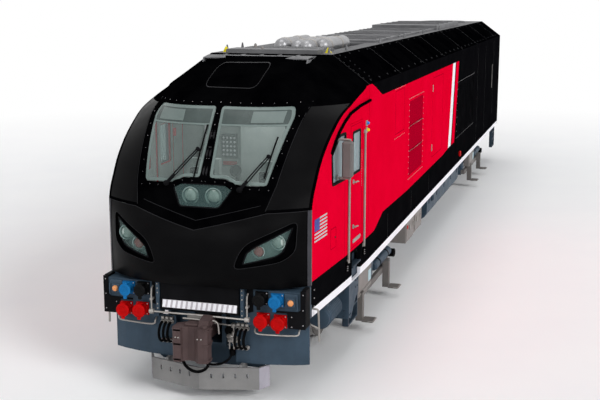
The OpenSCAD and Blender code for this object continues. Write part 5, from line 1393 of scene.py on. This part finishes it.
for body, cx in (("truck_front", TRUCK_X), ("truck_rear", -TRUCK_X)):
    springs, caps, slate, grey, label, black, metal = shapes(7)
    for s in SIDES:
        for axle in (-AXLE_X, AXLE_X):
            for dx in (-0.26, 0.26):
                coil(springs, (cx + axle + dx, s * 1.06), 0.075, 0.64, 0.86, 5, 0.015)
            caps.lathe([(-0.02, 0.15), (0.0, 0.15), (0.012, 0.135), (0.035, 0.125), (0.045, 0.07), (0.05, 0.02)],
                       (cx + axle, s * 1.19, AXLE_Z), (0, s, 0), 28)
            for k in range(8):
                turn = 2 * math.pi * k / 8
                metal.stud((cx + axle + 0.105 * math.cos(turn), s * 1.225, AXLE_Z + 0.105 * math.sin(turn)), (0, s, 0),
                           0.013, 0.014)
            slate.rod((cx + axle * 0.58, s * 1.215, 0.6), (cx + axle * 0.58, s * 1.215, 1.02), 0.03)
            slate.rod((cx + axle * 0.58, s * 1.215, 0.74), (cx + axle * 0.58, s * 1.215, 1.02), 0.045)
            metal.tube([(cx + axle * 0.95, s * 1.21, 0.92), (cx + axle * 0.6, s * 1.23, 0.96),
                        (cx + axle * 0.2, s * 1.23, 0.95)], 0.012, smooth=1)
        grey.side_box(s, (cx + 0.27, cx + 1.15), (1.19, 1.36), (0.56, 0.95), 0.02)
        grey.side_box(s, (cx + 0.33, cx + 1.09), (1.34, 1.375), (0.6, 0.64), 0.006)
        label.side_box(s, (cx + 0.31, cx + 0.49), (1.355, 1.364), (0.67, 0.85), 0.002)
        for x in (0.32, 1.1):
            for z in (0.6, 0.91):
                metal.stud((cx + x, s * 1.355, z), (0, s, 0), 0.011, 0.016)
        slate.lathe([(0, 0.05), (0.03, 0.078), (0.06, 0.082), (1.16, 0.082), (1.19, 0.078), (1.22, 0.05)],
                    (cx - 1.58, s * 1.24, 0.69), AHEAD, 22)
        slate.extrude([(cx - 0.26, 1.06), (cx + 0.2, 1.06), (cx + 0.18, 0.56), (cx + 0.02, 0.52)], "y", s * 1.22,
                      s * 1.3)
        slate.extrude([(cx - 1.88, 1.06), (cx - 1.52, 1.06), (cx - 1.56, 0.72), (cx - 1.66, 0.46), (cx - 1.74, 0.46)],
                      "y", s * 1.14, s * 1.19)
        metal.rod((cx - 1.7, s * 1.21, 0.36), (cx - 1.7, s * 1.21, 0.62), 0.016)
        for x in (-1.3, -0.66):
            black.lathe([(0, 0.086), (0.05, 0.086)], (cx + x, s * 1.24, 0.69), AHEAD, 22)
        black.lathe([(0, 0.06), (0.01, 0.075), (0.13, 0.075), (0.14, 0.06)], (cx - 1.76, s * 1.2, 0.6), (0, s, 0), 22)
        for x in (-0.995, 0.995):
            metal.chamfer_box((cx + x - 0.12, s * 1.545 - 0.05, 0.19), (cx + x + 0.12, s * 1.545 + 0.05, 0.206), 0.004)
    piece(f"{body}_springs", springs, "slate_dark", body)
    piece(f"{body}_axle_caps", caps, "slate", body)
    piece(f"{body}_dampers", slate, "slate", body)
    piece(f"{body}_gear_boxes", grey, "grey", body)
    piece(f"{body}_labels", label, "label", body)
    piece(f"{body}_bands", black, "rubber", body)
    piece(f"{body}_pipes", metal, "steel", body)
for i in range(1, 5):
    low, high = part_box(f"wheelset_{i}")
    x = (low[0] + high[0]) / 2
    rims = Shape()
    for s in SIDES:
        rims.lathe([(-0.045, 0.552), (-0.045, 0.56), (0.05, 0.5595), (0.05, 0.552)], (x, s * 0.752, AXLE_Z), (0, s, 0),
                   64)
        rims.lathe([(0.0, 0.115), (0.028, 0.115), (0.032, 0.09), (0.034, 0.02)], (x, s * 0.8, AXLE_Z), (0, s, 0), 28)
    piece(f"wheelset_{i}_rims", rims, "tread", f"wheelset_{i}")

# Under the sill: step brackets, ribbed units, tank straps, box tags and latches
brackets, ribs, straps, red_tags, latches = shapes(5)


def on_plate(s):
    """Outer face of the step bracket."""
    return lambda u, v, lift=0.0: np.array([u, s * (1.474 + lift), v])


TANK_LOW, TANK_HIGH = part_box("fuel_tank")
BOX_LOW, BOX_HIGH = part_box("equipment_boxes")
for s in SIDES:
    brackets.side_box(s, (8.705, 8.725), (1.2, 1.455), (0.58, SILL_Z), 0.004)
    brackets.side_box(s, (8.66, 8.725), (1.448, 1.462), (0.58, SILL_Z), 0.004)
    straps.studs(lambda u, v, lift=0.0: np.array([8.725 + lift, u, v]),
                 [(s * y, z) for y in (1.25, 1.4) for z in (0.62, 0.7, 0.98, 1.06)], 0.014, 0.014)
    profile = [(0.0, 0.1), (0.02, 0.145)]
    for i in range(11):
        a = 0.03 + 0.058 * i
        profile += [(a, 0.15), (a + 0.01, 0.165), (a + 0.03, 0.165), (a + 0.04, 0.15)]
    profile += [(0.68, 0.145), (0.7, 0.1)]
    ribs.lathe(profile, (8.93, s * 1.27, 0.85), AHEAD, 26)
    for x in (9.05, 9.42):
        brackets.side_box(s, (x, x + 0.08), (1.16, 1.36), (0.98, SILL_Z + 0.02), 0.01)
    brackets.extrude([(8.14, SILL_Z), (8.72, SILL_Z), (8.72, 0.6), (8.6, 0.56), (8.3, 0.8), (8.14, 0.84)], "y",
                     s * 1.462, s * 1.474)
    straps.studs(on_plate(s), [(x, z) for x in (8.22, 8.32) for z in (0.96, 1.06)] + [(8.62, 0.64), (8.68, 0.64)],
                 0.016, 0.012)
    face = TANK_HIGH[1]
    for x in row((TANK_LOW[0] + 0.25, 0), (TANK_HIGH[0] - 0.25, 0), 5):
        straps.side_box(s, (x[0] - 0.04, x[0] + 0.04), (face - 0.01, face + 0.012),
                        (TANK_LOW[2] + 0.3, TANK_HIGH[2] - 0.04), 0.004)
    ribs.lathe([(-0.02, 0.075), (0.03, 0.075), (0.035, 0.06), (0.05, 0.055), (0.06, 0.02)],
               (TANK_HIGH[0] - 0.55, s * face, TANK_HIGH[2] - 0.16), (0, s, 0), 22)
    face = BOX_HIGH[1]
    red_tags.side_box(s, (BOX_HIGH[0] - 0.16, BOX_HIGH[0] - 0.06), (face - 0.004, face + 0.008), (0.92, 0.98), 0.003)
    for x in row((BOX_LOW[0] + 0.2, 0), (BOX_HIGH[0] - 0.3, 0), 4):
        latches.side_box(s, (x[0] - 0.025, x[0] + 0.025), (face - 0.004, face + 0.022), (0.86, 0.96), 0.006)
piece("step_brackets", brackets, "slate")
piece("ribbed_units", ribs, "slate")
piece("tank_straps", straps, "slate_dark")
piece("box_tags", red_tags, "red_plastic")
piece("box_latches", latches, "steel")

# Rear end: lamps, grab irons, hoses
tail_red, tail_white, irons, tail_hoses = shapes(4)
for s in SIDES:
    for z, target in ((2.02, tail_red), (1.86, tail_white)):
        target.lathe([(-0.004, 0.07), (0.016, 0.07), (0.026, 0.055), (0.03, 0.02)], on_rear(s * 1.18, z), BACK, 22)
    irons.tube([on_rear(s * 1.38, 1.3, -0.01), on_rear(s * 1.38, 1.3, 0.07), on_rear(s * 1.38, 2.5, 0.07),
                on_rear(s * 1.38, 2.5, -0.01)], 0.015, smooth=1)
    for i in range(3):
        y = s * (0.5 + 0.09 * i)
        irons.lathe([(-0.01, 0.032), (0.04, 0.032), (0.05, 0.022)], on_rear(y, 1.16), BACK, 16)
        tail_hoses.tube([on_rear(y, 1.16, 0.03), on_rear(y, 1.13, 0.13), on_rear(y - s * 0.02, 0.9, 0.17),
                         on_rear(y - s * 0.03, 0.72, 0.1), on_rear(y - s * 0.03, 0.66, 0.04)], 0.022, smooth=3)
piece("tail_lamps", tail_red, "red_lens")
piece("rear_lamps", tail_white, "lens")
piece("rear_irons", irons, "steel")
piece("rear_hoses", tail_hoses, "rubber")

# Window, grip and kick plate of the rear door
TAIL_LOW, TAIL_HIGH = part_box("rear_door")
TAIL_FACE = TAIL_LOW[0]
tail_left, tail_right = TAIL_LOW[1] + 0.17, TAIL_HIGH[1] - 0.17
tail_top = TAIL_HIGH[2] - 0.2
tail_sill = tail_top - 0.62
tail_pane, tail_gasket, tail_metal = shapes(3)
tail_pane.extrude([(tail_left + 0.03, tail_sill), (tail_right - 0.03, tail_sill), (tail_right, tail_sill + 0.03),
                   (tail_right, tail_top - 0.03), (tail_right - 0.03, tail_top), (tail_left + 0.03, tail_top),
                   (tail_left, tail_top - 0.03), (tail_left, tail_sill + 0.03)],
                  "x", TAIL_FACE - 0.006, TAIL_FACE + 0.002)
for low, high in (((tail_left - 0.03, tail_sill - 0.03), (tail_right + 0.03, tail_sill + 0.004)),
                  ((tail_left - 0.03, tail_top - 0.004), (tail_right + 0.03, tail_top + 0.03)),
                  ((tail_left - 0.03, tail_sill), (tail_left + 0.004, tail_top)),
                  ((tail_right - 0.004, tail_sill), (tail_right + 0.03, tail_top))):
    tail_gasket.chamfer_box((TAIL_FACE - 0.01, *low), (TAIL_FACE + 0.002, *high), 0.003)
tail_metal.chamfer_box((TAIL_FACE - 0.006, tail_left - 0.08, TAIL_LOW[2] + 0.06),
                       (TAIL_FACE + 0.002, tail_right + 0.08, TAIL_LOW[2] + 0.26), 0.003)
grip_y = tail_right + 0.09
tail_metal.tube([(TAIL_FACE + 0.002, grip_y, 1.95), (TAIL_FACE - 0.045, grip_y, 1.95),
                 (TAIL_FACE - 0.045, grip_y, 2.2), (TAIL_FACE + 0.002, grip_y, 2.2)], 0.01, smooth=2)
piece("rear_door_pane", tail_pane, "side_pane", "rear_door")
piece("rear_door_gasket", tail_gasket, "rubber", "rear_door")
piece("rear_door_metal", tail_metal, "steel", "rear_door")


# Floor, light and camera

FLOOR_HALF = 60
WHITE_FROM, WHITE_TO = 12.0, 26.0
floor = Shape().add([(*p, 0) for p in rect((-FLOOR_HALF, -FLOOR_HALF), (FLOOR_HALF, FLOOR_HALF))], [(0, 1, 2, 3)])
floor_mesh = bpy.data.meshes.new("floor")
floor_mesh.from_pydata(floor.verts, [], floor.faces)


def pale_floor():
    """Pale floor that takes the object's shadow and runs out to white away from it."""
    paint = Paint("pale floor", 0.0, 0.0)
    paint.tint(paint.ramp(paint.noise(0.6), [(0.3, rgb(250, 250, 251)), (0.7, rgb(253, 253, 253))]))
    paint.gloss(0.8, 0.9)
    away = paint.nodes.new("ShaderNodeVectorMath")
    away.operation = "LENGTH"
    paint.link(paint.coords, away.inputs[0])
    far = paint.span(away.outputs["Value"], WHITE_FROM, WHITE_TO, 0.0, 1.0)
    path = paint.nodes.new("ShaderNodeLightPath")
    share = paint.math("MULTIPLY", far, path.outputs["Is Camera Ray"])
    glow = paint.nodes.new("ShaderNodeEmission")
    glow.inputs["Color"].default_value = (1, 1, 1, 1)
    glow.inputs["Strength"].default_value = 1.0
    blend = paint.nodes.new("ShaderNodeMixShader")
    paint.link(share, blend.inputs["Fac"])
    paint.link(paint.shader.outputs[0], blend.inputs[1])
    paint.link(glow.outputs[0], blend.inputs[2])
    paint.link(blend.outputs[0], paint.nodes["Material Output"].inputs["Surface"])
    return paint.material


floor_mesh.materials.append(pale_floor())
floor_object = bpy.data.objects.new("floor", floor_mesh)
bpy.context.collection.objects.link(floor_object)


def sun(name, towards, strength, spread):
    light = bpy.data.lights.new(name, "SUN")
    light.energy = strength
    light.angle = math.radians(spread)
    obj = bpy.data.objects.new(name, light)
    obj.rotation_euler = Vector(towards).to_track_quat("-Z", "Y").to_euler()
    bpy.context.collection.objects.link(obj)


sun("key light", (-0.42, -0.8, -0.5), 1.6, 25)
sun("front light", (-0.9, 0.1, -0.35), 0.68, 30)
sun("top light", (-0.1, 0.1, -1.0), 0.8, 40)

cab_light = bpy.data.lights.new("cab light", "POINT")
cab_light.energy = 22
cab_light.shadow_soft_size = 0.25
cab_lamp = bpy.data.objects.new("cab light", cab_light)
cab_lamp.location = (9.0, 0.0, 3.62)
bpy.context.collection.objects.link(cab_lamp)

world = bpy.data.worlds.new("white surroundings")
bpy.context.scene.world = world
world.use_nodes = True
nodes, links = world.node_tree.nodes, world.node_tree.links
nodes.clear()
paths = nodes.new("ShaderNodeLightPath")
seen = paths.outputs["Is Camera Ray"]
for ray in ("Is Glossy Ray", "Is Transmission Ray"):
    either = nodes.new("ShaderNodeMath")
    either.operation = "MAXIMUM"
    links.new(seen, either.inputs[0])
    links.new(paths.outputs[ray], either.inputs[1])
    seen = either.outputs[0]
ambient = nodes.new("ShaderNodeBackground")
ambient.inputs["Color"].default_value = (0.97, 0.98, 1, 1)
ambient.inputs["Strength"].default_value = 0.34
white = nodes.new("ShaderNodeBackground")
white.inputs["Color"].default_value = (1, 1, 1, 1)
white.inputs["Strength"].default_value = 1.0
choice = nodes.new("ShaderNodeMixShader")
links.new(seen, choice.inputs["Fac"])
links.new(ambient.outputs[0], choice.inputs[1])
links.new(white.outputs[0], choice.inputs[2])
output = nodes.new("ShaderNodeOutputWorld")
links.new(choice.outputs[0], output.inputs["Surface"])

# Camera found from the photograph: lens in millimetres, place, and turn and dip in degrees
CAMERA_LENS = 62.6
CAMERA_PLACE = (22.829, 4.931, 5.249)
CAMERA_YAW, CAMERA_PITCH = 16.56, 11.31
camera_data = bpy.data.cameras.new("photo camera")
camera_data.sensor_width = 36
camera_data.lens = CAMERA_LENS
camera_data.clip_end = 300
camera = bpy.data.objects.new("photo camera", camera_data)
yaw, pitch = math.radians(CAMERA_YAW), math.radians(CAMERA_PITCH)
camera.location = CAMERA_PLACE
aim = Vector((-math.cos(yaw) * math.cos(pitch), -math.sin(yaw) * math.cos(pitch), -math.sin(pitch)))
camera.rotation_euler = aim.to_track_quat("-Z", "Y").to_euler()
bpy.context.collection.objects.link(camera)
bpy.context.scene.camera = camera
bpy.context.scene.view_settings.view_transform = "Standard"
